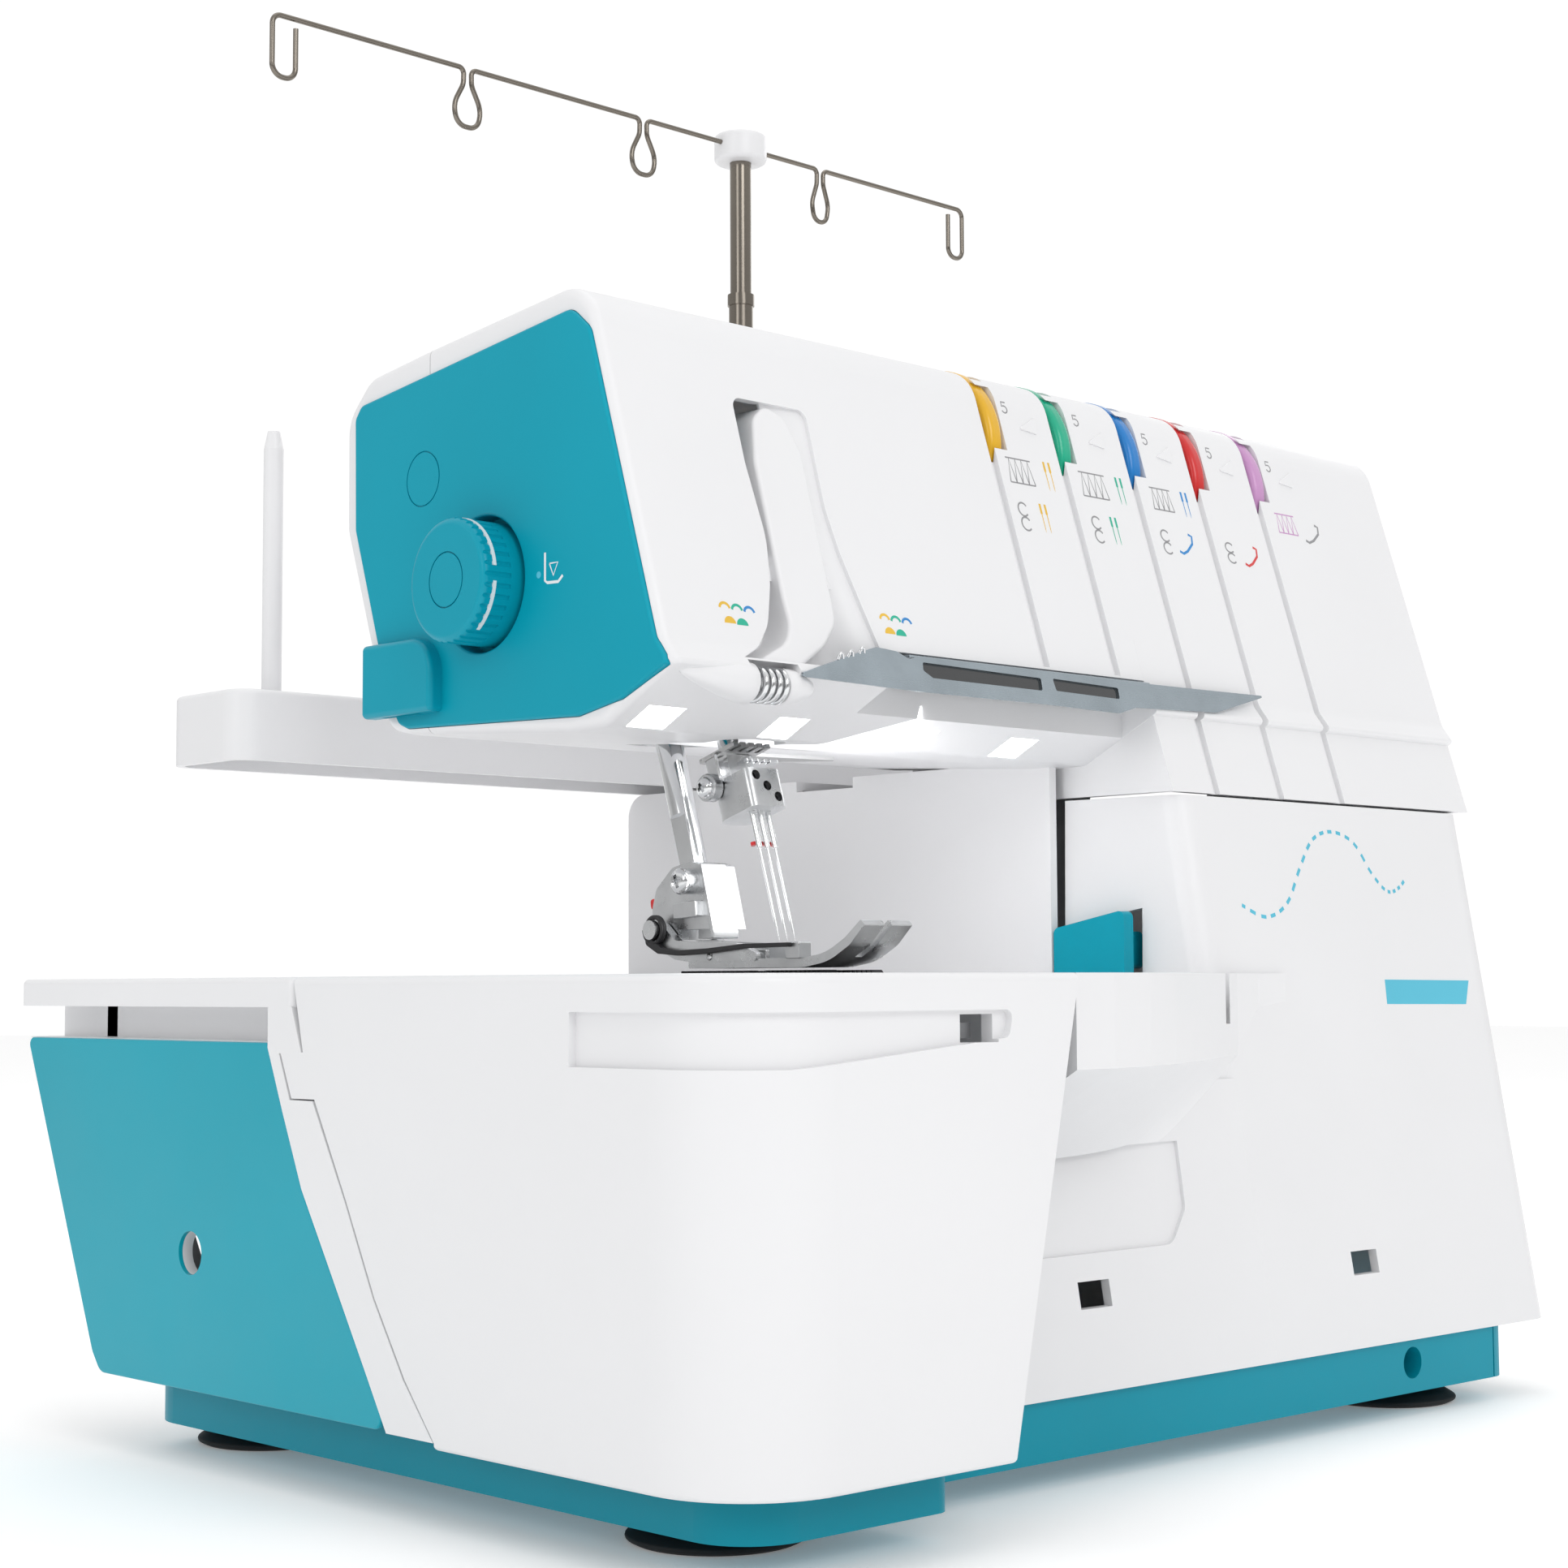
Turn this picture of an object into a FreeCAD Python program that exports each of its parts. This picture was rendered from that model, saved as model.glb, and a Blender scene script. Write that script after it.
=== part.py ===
# Combined overlock / coverlock sewing machine, built as separate solids.
# Construction frame: X to the operator's right, Y to the back, Z up, floor at Z = 0 (mm).
# Every solid is moved by (-ORIGIN_X, -ORIGIN_Y, 0) at export, so that the model's
# origin is the centre of its footprint box on the floor.
import FreeCAD, Part
import math, os

os.makedirs("parts", exist_ok=True)
V = FreeCAD.Vector

# ------------------------------------------------------------------ driving dimensions
ORIGIN_X, ORIGIN_Y = 14.16, 1.5      # centre of the footprint box in the construction frame
WALL = 2.8                          # moulded cover wall
BED_TOP = 129.4                     # sewing surface
BED_T = 7.7                         # thickness of the bed slab
LEFT_X = -183.6                     # left side of the bed
RIGHT_X = 193.8                     # right side of the tower
FRONT_Y = -157.0                    # front of the looper cover
BED_REAR = 158.0
SPLIT_Z = 181.4                     # seam between the lower and upper front covers
LOW_LEAN = 0.173                    # dy/dz of the lower front face
UP_LEAN = 0.305                     # dy/dz of the upper front face, needle bar and presser bar
HEAD_X = -141.6                     # left end of the head
COL_X = 35.0                        # left face of the column (right wall of the throat)
COL_REAR = 141.0
TILT = math.degrees(math.atan(UP_LEAN))
NB = V(-85.0, -31.2, 195.8)         # origin of the tilted frame of the two bars
NEEDLE_N, PRESSER_N = -11.29, 11.29 # the two bars' places across the tilted frame
NEEDLE_R, PRESSER_R = 2.9, 3.75
SHAFT_Y, SHAFT_Z, SHAFT_R = 25.0, 80.0, 6.0
MOTOR_Y, MOTOR_Z = 75.0, 55.0
PULLEY_R, MOTOR_PULLEY_R = 27.0, 9.0
KNOB_Y, KNOB_Z, KNOB_R = -12.4, 231.4, 16.3
DIAL_Y, DIAL_Z, DIAL_R, DIAL_W = -37.0, 281.0, 25.0, 5.8
SEAM_X = [-1.8, 28.8, 60.9, 92.0, 122.9]   # the five thread channels in the front face
SEAM_W = 3.0
MAST_X, MAST_Y = 70.5, 121.0
MAST_R1, MAST_R2 = 4.3, 3.8
WIRE_Z, WIRE_R = 425.0, 0.85
SPOOL_X = [-122.0, -46.0, 30.0, 106.0, 182.0]
SPOOL_R = 3.0
HINGE_Y, HINGE_Z = -149.5, 26.5     # looper cover's hinge
LC_X, LC_Y = -136.0, 156.0          # left cover's hinge
FIT = 0.06                          # radial clearance of a running fit

NODES = {}


def y_low(z):
    return -120.0 + LOW_LEAN * (z - 22.6)


def y_up(z):
    return -91.2 + UP_LEAN * (z - 186.3)


# ------------------------------------------------------------------ helpers
def corner(a, p, b, r):
    ua = (a[0] - p[0], a[1] - p[1]); ub = (b[0] - p[0], b[1] - p[1])
    la = math.hypot(*ua); lb = math.hypot(*ub)
    ua = (ua[0] / la, ua[1] / la); ub = (ub[0] / lb, ub[1] / lb)
    c = max(-1.0, min(1.0, ua[0] * ub[0] + ua[1] * ub[1]))
    ang = math.acos(c)
    if r <= 0 or ang > math.pi - 0.02:
        return p, p, None
    t = min(r / math.tan(ang / 2), 0.48 * la, 0.48 * lb)
    r = t * math.tan(ang / 2)
    bx, by = ua[0] + ub[0], ua[1] + ub[1]
    lb2 = math.hypot(bx, by); bx /= lb2; by /= lb2
    d = r / math.sin(ang / 2)
    p1 = (p[0] + ua[0] * t, p[1] + ua[1] * t)
    p2 = (p[0] + ub[0] * t, p[1] + ub[1] * t)
    return p1, p2, (p[0] + bx * (d - r), p[1] + by * (d - r))


def to3(plane, p, at):
    if plane == "x":
        return V(at, p[0], p[1])
    if plane == "y":
        return V(p[0], at, p[1])
    return V(p[0], p[1], at)


def outline(plane, pts, rad, at, closed=True):
    n = len(pts)
    rr = rad if isinstance(rad, (list, tuple)) else [rad] * n
    cs = []
    for i in range(n):
        if not closed and i in (0, n - 1):
            cs.append((pts[i], pts[i], None))
        else:
            cs.append(corner(pts[i - 1], pts[i], pts[(i + 1) % n], rr[i]))
    edges = []
    for i in range(n):
        p1, p2, m = cs[i]
        if m is not None:
            edges.append(Part.Arc(to3(plane, p1, at), to3(plane, m, at), to3(plane, p2, at)).toShape())
        if i == n - 1 and not closed:
            break
        q = cs[(i + 1) % n][0]
        if math.hypot(q[0] - p2[0], q[1] - p2[1]) > 1e-6:
            edges.append(Part.LineSegment(to3(plane, p2, at), to3(plane, q, at)).toShape())
    return Part.Wire(edges)


def face(plane, pts, rad, at):
    return Part.Face(outline(plane, pts, rad, at))


def prism(plane, pts, rad, a, b, inset=0.0, direction=None):
    f = face(plane, pts, rad, a)
    if inset:
        f = f.makeOffset2D(-inset)
    if direction is None:
        direction = {"x": V(1, 0, 0), "y": V(0, 1, 0), "z": V(0, 0, 1)}[plane] * (b - a)
    return f.extrude(direction)


def box(x0, x1, y0, y1, z0, z1):
    return Part.makeBox(x1 - x0, y1 - y0, z1 - z0, V(x0, y0, z0))


def rod(p, q, r):
    d = V(*q) - V(*p)
    return Part.makeCylinder(r, d.Length, V(*p), d)


def cone(p, q, r1, r2):
    d = V(*q) - V(*p)
    return Part.makeCone(r1, r2, d.Length, V(*p), d)


def ring(p, q, ro, ri):
    return rod(p, q, ro).cut(rod(p, q, ri))


def fuse(*s):
    a = s[0]
    for b in s[1:]:
        a = a.fuse(b)
    return a.removeSplitter()


def upright(s):
    """A loft with its normals pointing out."""
    if s.Volume < 0:
        s = s.copy(); s.reverse()
    return s


def group(solids):
    out = []
    for s in solids:
        out += s.Solids
    return Part.makeCompound(out)


def soften(shape, test, r):
    """Fillet the edges for which test(edge) holds; keep the sharp shape if it can't be done."""
    ed = [e for e in shape.Edges if test(e)]
    if not ed:
        return shape
    for k in (1.0, 0.7, 0.4):
        try:
            s = shape.makeFillet(r * k, ed)
            if s.isValid() and s.Volume > 0:
                return s
        except Exception:
            pass
    return shape


def tilt(shape, ox=None):
    """Place a shape drawn in the tilted frame (x, n, t) of the needle bar."""
    s = shape.copy()
    s.rotate(V(0, 0, 0), V(1, 0, 0), -TILT)
    s.translate(NB)
    return s


def lowered(s):
    s = s.copy()
    s.translate(V(0, 0, -CLAMP_DOWN))
    return s


def half(shape, y, keep_front):
    b = box(-400, 400, -400, y, -50, 500) if keep_front else box(-400, 400, y, 400, -50, 500)
    return shape.common(b)


def node(name, shape):
    NODES[name] = shape


# ------------------------------------------------------------------ base pan and feet
pan_pts = [(-170, -143), (-105, -143), (-105, -118), (171, -118), (171, 107), (-170, 107)]
pan_rad = [16, 5, 3, 10, 14, 16]
PAN_TOP, BLOCK_TOP = 22.6, 16.4
pan = prism("z", pan_pts, pan_rad, 7, PAN_TOP).cut(prism("z", pan_pts, pan_rad, 9.6, PAN_TOP + 1, inset=3))
pan = pan.cut(box(-180, -104.9, -150, -118, BLOCK_TOP, 30)).cut(box(-180, -167.9, -120, -100, BLOCK_TOP, 30))
lid = prism("z", [(-167.5, -140.5), (-107.5, -140.5), (-107.5, -116), (-167.5, -116)], [13, 3, 0, 0], BLOCK_TOP - 2.2, BLOCK_TOP)
pan = pan.fuse(lid)
SOCK_X, SOCK_Z, SOCK_R = 117.6, 15.6, 4.6
pan = pan.fuse(rod((SOCK_X, -117.5, SOCK_Z), (SOCK_X, -98, SOCK_Z), 7.0).common(box(100, 130, -119, -90, 7, PAN_TOP)))
pan = pan.cut(rod((SOCK_X, -120, SOCK_Z), (SOCK_X, -102, SOCK_Z), SOCK_R))
pan = pan.cut(box(160.6, 161.2, -119, -117.2, 6, 23))
FEET = [(-141, -102), (-141, 85), (141, -92), (141, 85)]
node("base_pan", pan.removeSplitter())
foot_prof = [(0, 0), (19.5, 0), (22, 1.2), (18.5, 3.4), (13.5, 4.6), (12.5, 7), (0, 7)]
feet = []
for fx, fy in FEET:
    w = outline("y", foot_prof, [0, 0, 0.8, 4, 2, 0, 0], 0)
    s = Part.Face(w).revolve(V(0, 0, 0), V(0, 0, 1), 360)
    s.translate(V(fx, fy, 0))
    feet.append(s)
node("rubber_feet", group(feet))

# ------------------------------------------------------------------ looper cover (front, wraps round the left corner)
SEAM_L = [(11.2, BED_TOP), (6.6, 110.4), (17.0, 110.3), (11.6, 98.7), (1.2, 98.7), (-13.3, 74.3),
          (-25.8, 51.7), (-38.5, 33.7), (-50.5, 20.3)]
cov_plan = [(LEFT_X, FRONT_Y), (-75, FRONT_Y), (-75, 20), (LEFT_X, 20)]
cov = prism("z", cov_plan, [28, 0, 0, 0], 18.6, BED_TOP)
cov = cov.cut(prism("z", [(LEFT_X + 3, FRONT_Y + 3), (-60, FRONT_Y + 3), (-60, 30), (LEFT_X + 3, 30)], [25, 0, 0, 0], 10, BED_TOP - 4.0))
cov = cov.cut(box(-149.8, -60, -112.0, 30, 100, 140))
right_cut = prism("y", [(-75, BED_TOP + 1), (-50, BED_TOP + 1), (-50, 10), (-101, 10)], 0, -170, 60)
cov = cov.cut(right_cut)
left_keep = [(-200, 10), (-50.5, 10)] + SEAM_L[::-1] + [(11.2, 140), (-200, 140)]
cov = cov.common(prism("x", left_keep, 0, -200, -60))
# handle recess round the corner, with the catch window at its right end
rec_out = prism("z", cov_plan, [28, 0, 0, 0], 108.6, 121.2, inset=0)
rec_in = prism("z", [(LEFT_X + 2.0, FRONT_Y + 2.0), (-60, FRONT_Y + 2.0), (-60, 30), (LEFT_X + 2.0, 30)], [26, 0, 0, 0], 100, 130)
rec = rec_out.cut(rec_in)
rec = rec.common(prism("y", [(-200, 108.8), (-166, 108.8), (-100, 114.6), (-98.5, 121), (-200, 121)], [0, 3, 2, 2, 0], -170, 10))
rec = rec.common(box(-200, -98, -170, -100.7, 100, 130))
rec_front = prism("y", [(-165, 109.4), (-101, 114.6), (-99.6, 120.8), (-165, 120.8)], [0, 2, 2, 0], FRONT_Y - 1, FRONT_Y + 2.0)
pad = prism("z", [(LEFT_X + 1, FRONT_Y + 1), (-92, FRONT_Y + 1), (-92, FRONT_Y + 5.4), (-150, FRONT_Y + 5.4), (LEFT_X + 5.4, -125), (LEFT_X + 5.4, -96), (LEFT_X + 1, -96)],
            [26, 0, 0, 14, 14, 0, 0], 106, 123)
cov = cov.fuse(pad).cut(rec).cut(rec_front)
cov = cov.cut(box(-114.4, -103.6, FRONT_Y - 1, FRONT_Y + 8, 113.6, 120.0))
for x0 in (-154.0, -120.0):
    cov = cov.fuse(rod((x0, HINGE_Y, HINGE_Z), (x0 + 6, HINGE_Y, HINGE_Z), 4.2))
    cov = cov.fuse(box(x0, x0 + 6, -154.5, HINGE_Y, HINGE_Z - 3.4, HINGE_Z + 4.2))
cov = cov.cut(rod((-160, HINGE_Y, HINGE_Z), (-100, HINGE_Y, HINGE_Z), 2.5 + FIT))
cov = cov.removeSplitter()
cov = soften(cov, lambda e: abs(e.BoundBox.ZMin - BED_TOP) < 0.01 and abs(e.BoundBox.ZMax - BED_TOP) < 0.01 and
             (e.BoundBox.YMax < -120 or e.BoundBox.XMax < -183) and (e.BoundBox.XLength > 20 or e.BoundBox.YLength > 20), 2.2)
cov = soften(cov, lambda e: abs(e.BoundBox.ZMin - 18.6) < 0.01 and abs(e.BoundBox.ZMax - 18.6) < 0.01 and
             (abs(e.BoundBox.YMin - FRONT_Y) < 0.1 or abs(e.BoundBox.XMin - LEFT_X) < 0.1), 1.8)
node("looper_cover", cov)
node("cover_hinge_rod", rod((-156, HINGE_Y, HINGE_Z), (-96, HINGE_Y, HINGE_Z), 2.5))

# ------------------------------------------------------------------ left cover (cloth plate) and its teal panel
lc_in = LEFT_X + 14
slab = prism("z", [(LEFT_X, 11.7), (-130.2, 11.7), (-130.2, 160), (LEFT_X, 160)], [2, 1, 4, 6], BED_TOP - BED_T, BED_TOP)
slab = soften(slab, lambda e: e.BoundBox.ZMin > BED_TOP - 0.01 and (e.BoundBox.XMax < LEFT_X + 1 or e.BoundBox.YMin > 159), 1.6)
side_prof = [(12.0, BED_TOP - BED_T + 0.2), (7.3, 110.0), (17.7, 110.0), (12.5, 98.3), (2.1, 98.3), (-12.5, 74.3), (-25.0, 51.7), (-37.7, 33.7),
             (-46.5, 25.0), (108, 25.0), (152.5, 112.8), (152.5, BED_TOP - BED_T + 0.2)]
side = prism("x", side_prof, [0, 0, 0, 0, 0, 0, 0, 0, 3, 8, 2, 0], LEFT_X + 1.2, LEFT_X + 4.2)
grip = box(LEFT_X - 1, LEFT_X + 11.5, 23, 161, 112.8, BED_TOP - BED_T)
side = side.cut(grip)
side = side.fuse(box(LEFT_X + 11.2, LEFT_X + 14, 20.5, 126, 111.0, BED_TOP - BED_T + 0.2))
side = side.fuse(box(LEFT_X + 1.2, LEFT_X + 14, 20.5, 152, 110.0, 112.8))
side = side.fuse(box(LEFT_X + 1.2, LEFT_X + 14, 20.5, 23, 110.0, BED_TOP - BED_T + 0.2))
# outer white border strip in front of the teal panel and the skirt below it
strip = prism("x", [(12.0, BED_TOP - BED_T + 0.2), (7.3, 110.0), (17.7, 110.0), (12.5, 98.3), (2.1, 98.3), (-12.5, 74.3), (-25.0, 51.7), (-37.7, 33.7),
                    (-50.0, 20.3), (-31.0, 20.3), (-23.2, 32.1), (-7.1, 55.9), (6.7, 76.2), (23.0, 110.5), (23.0, BED_TOP - BED_T + 0.2)],
              0, LEFT_X, LEFT_X + 1.3)
left_cover = fuse(slab, side, strip)
left_cover = left_cover.fuse(box(LEFT_X + 4.0, LEFT_X + 9, 148.5, 152.5, 40, 112)).common(
    fuse(prism("x", [(-60, 10), (107.9, 10), (152.5, 112.8), (152.5, 118), (161, 118), (161, 130), (-60, 130)], 0, -200, -100)))
left_cover = left_cover.cut(rod((LEFT_X - 1, 60, 56.6), (LEFT_X + 8, 60, 56.6), 5.8))
KNUCKLES = [(30.0, 36.0), (100.0, 106.0)]
for z0, z1 in KNUCKLES:
    yk = LC_Y - 0.0
left_cover = left_cover.cut(rod((LC_X, LC_Y, 118), (LC_X, LC_Y, 127.0), 2.5 + FIT))
teal_pts = [(23.0, 112.6), (6.4, 75.6), (-7.6, 55.2), (-23.8, 31.4), (-31.4, 20.6), (107.4, 20.6), (112.0, 26.0), (152.5, 112.6)]
teal = prism("x", teal_pts, [0, 40, 60, 30, 3, 5, 8, 2], LEFT_X, LEFT_X + 1.2)
teal = teal.cut(rod((LEFT_X - 1, 60, 56.6), (LEFT_X + 8, 60, 56.6), 5.8))
teal = soften(teal, lambda e: e.BoundBox.XMax < LEFT_X + 0.01 and e.BoundBox.ZMax - e.BoundBox.ZMin < 300 and not (
    abs(e.BoundBox.YLength - 11.6) < 0.1), 0.5)
node("left_cover_panel", teal)
left_cover = left_cover.cut(teal).cut(cov)
left_cover = sorted(left_cover.removeSplitter().Solids, key=lambda q: -q.Volume)[0]
node("left_cover", left_cover)

# ------------------------------------------------------------------ bed cover: top slab and sloping rear wall
STITCH = (-118.0, -67.0, -111.0, -18.0)
bed_pts = [(-149.4, -111.6), (33.5, -111.6), (44.6, -105.0), (44.6, -52.8), (COL_X - 0.4, -52.8), (COL_X - 0.4, BED_REAR),
           (-129.6, BED_REAR), (-129.6, 11.2), (-149.4, 11.2)]
bed = prism("z", bed_pts, [0, 0, 0, 0, 0, 0, 0, 0, 0], BED_TOP - BED_T, BED_TOP)
bed = bed.cut(box(STITCH[0] - 0.2, -57.0, STITCH[2] - 0.2, STITCH[3] + 0.2, BED_TOP - 20, BED_TOP + 1))
bed = bed.fuse(box(-119.5, -118.1, -111.0, -18, BED_TOP - 9, BED_TOP - 3.2))
rear_wall = prism("x", [(BED_REAR, BED_TOP - BED_T), (BED_REAR, 119), (110.5, 23), (107.5, 23), (154.6, 118), (154.6, BED_TOP - BED_T)], 0, -129.6, COL_X - 0.4)
bed = fuse(bed, rear_wall)
bed = soften(bed, lambda e: e.BoundBox.ZMin > BED_TOP - 0.01 and e.BoundBox.YMin > BED_REAR - 0.1, 2.0)
node("bed_cover", bed)

# ------------------------------------------------------------------ stitch plate, knives, feed dogs
sp = prism("z", [(STITCH[0], STITCH[2]), (STITCH[1], STITCH[2]), (STITCH[1], STITCH[3]), (STITCH[0], STITCH[3])], [4, 1, 4, 4], BED_TOP - 3.0, BED_TOP + 0.2)
for x0 in (-96.0, -80.0):
    sp = sp.cut(box(x0, x0 + 6, -97, -31, BED_TOP - 4, BED_TOP + 1))
sp = sp.cut(prism("z", [(-89.2, -79.5), (-80.8, -79.5), (-80.8, -60), (-89.2, -60)], 2.0, BED_TOP - 4, BED_TOP + 1))
sp = sp.cut(cone((-108, -30, BED_TOP - 2), (-108, -30, BED_TOP + 0.3), 2.0, 4.2)).cut(cone((-108, -98, BED_TOP - 2), (-108, -98, BED_TOP + 0.3), 2.0, 4.2))
node("stitch_plate", sp.removeSplitter())


def feed(y0, y1, ybar):
    s = box(-95, -91, y0, y1, 112, BED_TOP).fuse(box(-79, -75, y0, y1, 112, BED_TOP)).fuse(box(-95, -75, ybar, ybar + 6, 107, 113))
    teeth = []
    y = y0 + 0.2
    while y + 1.7 < y1:
        for x0 in (-95, -79):
            teeth.append(prism("x", [(y, BED_TOP - 0.5), (y + 1.6, BED_TOP - 0.5), (y + 1.5, BED_TOP + 1.1)], 0, x0, x0 + 4))
        y += 1.7
    return s.fuse(teeth).removeSplitter()


node("feed_dog_front", feed(-93, -68, -92))
node("feed_dog_rear", feed(-64, -35, -43))
node("upper_knife", fuse(box(-66.2, -62.5, -101, -84, 92, 126.5), box(-66.2, -62.5, -84.5, -70, 92, 100)))
node("lower_knife", box(-62.1, -59.2, -101, -84, 98, BED_TOP - 0.2).fuse(box(-62.1, -59.2, -101, -84, 88, 98)).cut(
    rod((-63, -92.5, 94), (-58, -92.5, 94), 2)))

# ------------------------------------------------------------------ lower front cover: tower front, band over the looper door, wall
tower_plan = [(45.0, y_low(22)), (RIGHT_X, y_low(22)), (RIGHT_X, 60), (COL_X + 4, 60), (COL_X + 4, -58)]
tw_dir = V(0, LOW_LEAN, 1) * (SPLIT_Z - 0.8 - 22)
tower = prism("z", tower_plan, [7, 12, 0, 0, 0], 22, 0, direction=tw_dir)
tw_in = prism("z", tower_plan, [7, 12, 0, 0, 0], 15, 0, inset=WALL, direction=V(0, LOW_LEAN, 1) * 180)
tw_in.translate(V(0, -LOW_LEAN * 7.0, 0))
tower = half(tower.cut(tw_in), 10, True)
tower = tower.cut(box(COL_X - 5, COL_X + 30, -53, 30, BED_TOP - 12, 200))
BAND = [(-74.6, FRONT_Y + 1.6), (-60, -155.0), (-42, -151.4), (-24, -145.0), (-6, -136.8), (12, -127.6), (28, -118.6), (42, -110.6), (54, -105.0), (66, -103.2), (80, -102.9)]
n_b = len(BAND)


def band_solid(inset, z_lo, z_mid, z_hi, y_back, x0):
    top = [(max(x, x0) - 0.0, y + inset) for x, y in BAND] + [(80.0 - inset, y_back), (x0, y_back)]
    xs = [-74.6, -62, -50, -38, -26, -14, -4, 4, 10, 15, 19]
    low = [(max(x, x0), y_low(z_lo) + 0.6 + inset) for x in xs] + [(19.0, y_back), (x0, y_back)]
    a = prism("z", top, 0, z_mid, z_hi)
    b = upright(Part.makeLoft([outline("z", low, 0, z_lo), outline("z", top, 0, z_mid)], True, True))
    return a.fuse(b)


band_out = band_solid(0.0, 80.0, 106.5, BED_TOP, -97.0, -74.6)
wall = prism("x", [(y_low(22), 22), (y_low(100), 100), (y_low(100) + WALL, 100), (y_low(22) + WALL, 22)], 0, -102, 50)
band_in = band_solid(3.0, 83.0, 107.2, BED_TOP - 3.2, -90.0, -71.6)
front = band_out.cut(band_in).cut(box(-80, 44.9, -112.0, -80, BED_TOP - 14, BED_TOP + 1))
front = sorted(front.Solids, key=lambda q: -q.Volume)[0]
lfc = tower.fuse(wall).fuse(front)
# shallow service panel step, the two latch windows, holes in the right side
panel = [(-110, 57), (12, 57), (19.6, 66), (20.2, 84), (-110, 84)]
step = prism("y", panel, [0, 6, 4, 0, 0], -130, -100).common(
    prism("x", [(y_low(50) - 2, 50), (y_low(90) - 2, 90), (y_low(90) + 1.1, 90), (y_low(50) + 1.1, 50)], 0, -120, 40))
lfc = lfc.cut(step)
WIN = [(-28.6, -16.2, 43.3, 50.2), (91.4, 104.0, 42.7, 49.4)]
for x0, x1, z0, z1 in WIN:
    lfc = lfc.cut(box(x0, x1, -125, -105, z0, z1))
SW_Y, SW_Z = -32.0, 45.0
lfc = lfc.cut(box(RIGHT_X - 10, RIGHT_X + 2, SW_Y - 7.6, SW_Y + 7.6, SW_Z - 10.6, SW_Z + 10.6))
lfc = lfc.cut(rod((RIGHT_X - 3.8, SW_Y - 9.2, SW_Z), (RIGHT_X - 3.8, SW_Y + 9.2, SW_Z), 1.2 + FIT))
D1 = (-52.0, 106.0)
D2 = (-58.0, 70.0)
for dy, dz in (D1, D2):
    lfc = lfc.fuse(rod((RIGHT_X - 11, dy, dz), (RIGHT_X - 2, dy, dz), 6.5)).cut(rod((RIGHT_X - 20, dy, dz), (RIGHT_X + 2, dy, dz), 3.0 + FIT))
TH = [(-79.4, 129.8), (-79.4, 147.8), (-52.9, 142.8), (-52.9, 129.8)]
lfc = lfc.cut(prism("x", [(-79.9, 129.4), (-79.9, 148.4), (-50.0, 142.9), (-50.0, 129.4)], 0, 30, 52))
lfc = lfc.cut(box(-300, 300, -200, 200, 0, PAN_TOP))
lfc = lfc.cut(box(36, 50, -92.6, 92.6, 20, 30.4)).cut(box(-53, 70, 28, 62, 103.6, 112.4))
lfc = lfc.cut(bed)
lfc = sorted(lfc.removeSplitter().Solids, key=lambda q: -q.Volume)[0]
node("lower_front_cover", lfc)
node("threader_key", fuse(prism("x", TH, [0, 2, 2, 0], 35.4, 39.6), prism("x", [(-76, 131), (-76, 142), (-57, 139), (-57, 131)], 1.5, 39.4, 48)))
# ------------------------------------------------------------------ rear cover: column and rear of the tower
rc_prof = [(10.4, 22), (108, 22), (COL_REAR, 105), (COL_REAR, 192.4), (10.4, 192.4)]
rc = prism("x", rc_prof, [0, 8, 20, 8, 0], COL_X, RIGHT_X)
rc = rc.cut(prism("x", [(0, 21), (108 - 2, 21), (COL_REAR - WALL, 105.6), (COL_REAR - WALL, 192.4 - WALL), (0, 192.4 - WALL)], [0, 6, 18, 6, 0], COL_X + WALL, RIGHT_X - WALL))
rc = soften(rc, lambda e: e.BoundBox.YMin > 100 and abs(e.BoundBox.XMin - RIGHT_X) < 0.01 and abs(e.BoundBox.XMax - RIGHT_X) < 0.01, 6)
rc = rc.fuse(box(COL_X, COL_X + WALL, -52.4, 11, BED_TOP + 0.3, 192.4))
rc = rc.cut(rod((RIGHT_X - 5, SHAFT_Y, SHAFT_Z), (RIGHT_X + 3, SHAFT_Y, SHAFT_Z), 9.0))
INLET = (88.0, 106.0, 32.0, 50.0)
rc = rc.cut(box(RIGHT_X - 5, RIGHT_X + 2, INLET[0] - 0.1, INLET[1] + 0.1, INLET[2] - 0.1, INLET[3] + 0.1))
for i in range(7):
    rc = rc.cut(box(95 + i * 9, 99 + i * 9, COL_REAR - 5, COL_REAR + 2, 130, 160))
rc = rc.cut(box(COL_X - 1, RIGHT_X + 1, -60, 56, 189.0, 200))
rc = rc.fuse(box(COL_X, COL_X + WALL, -52.4, 30, 188.0, 192.4)).fuse(box(RIGHT_X - WALL, RIGHT_X, 10.4, 30, 188.0, 192.4))
rc = rc.cut(rod((MAST_X, MAST_Y, 180), (MAST_X, MAST_Y, 200), MAST_R1 + 0.02))
rc = rc.cut(box(30, 42, -60, 92.6, 20, 30.4)).cut(box(30, 42, 29.5, 60.5, 103.5, 112.5)).cut(rod((30, SHAFT_Y, SHAFT_Z), (42, SHAFT_Y, SHAFT_Z), 9.0))
rc = rc.cut(box(-300, 300, -200, 200, 0, PAN_TOP))
rc = sorted(rc.removeSplitter().Solids, key=lambda q: -q.Volume)[0]
node("rear_cover", rc)

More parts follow.
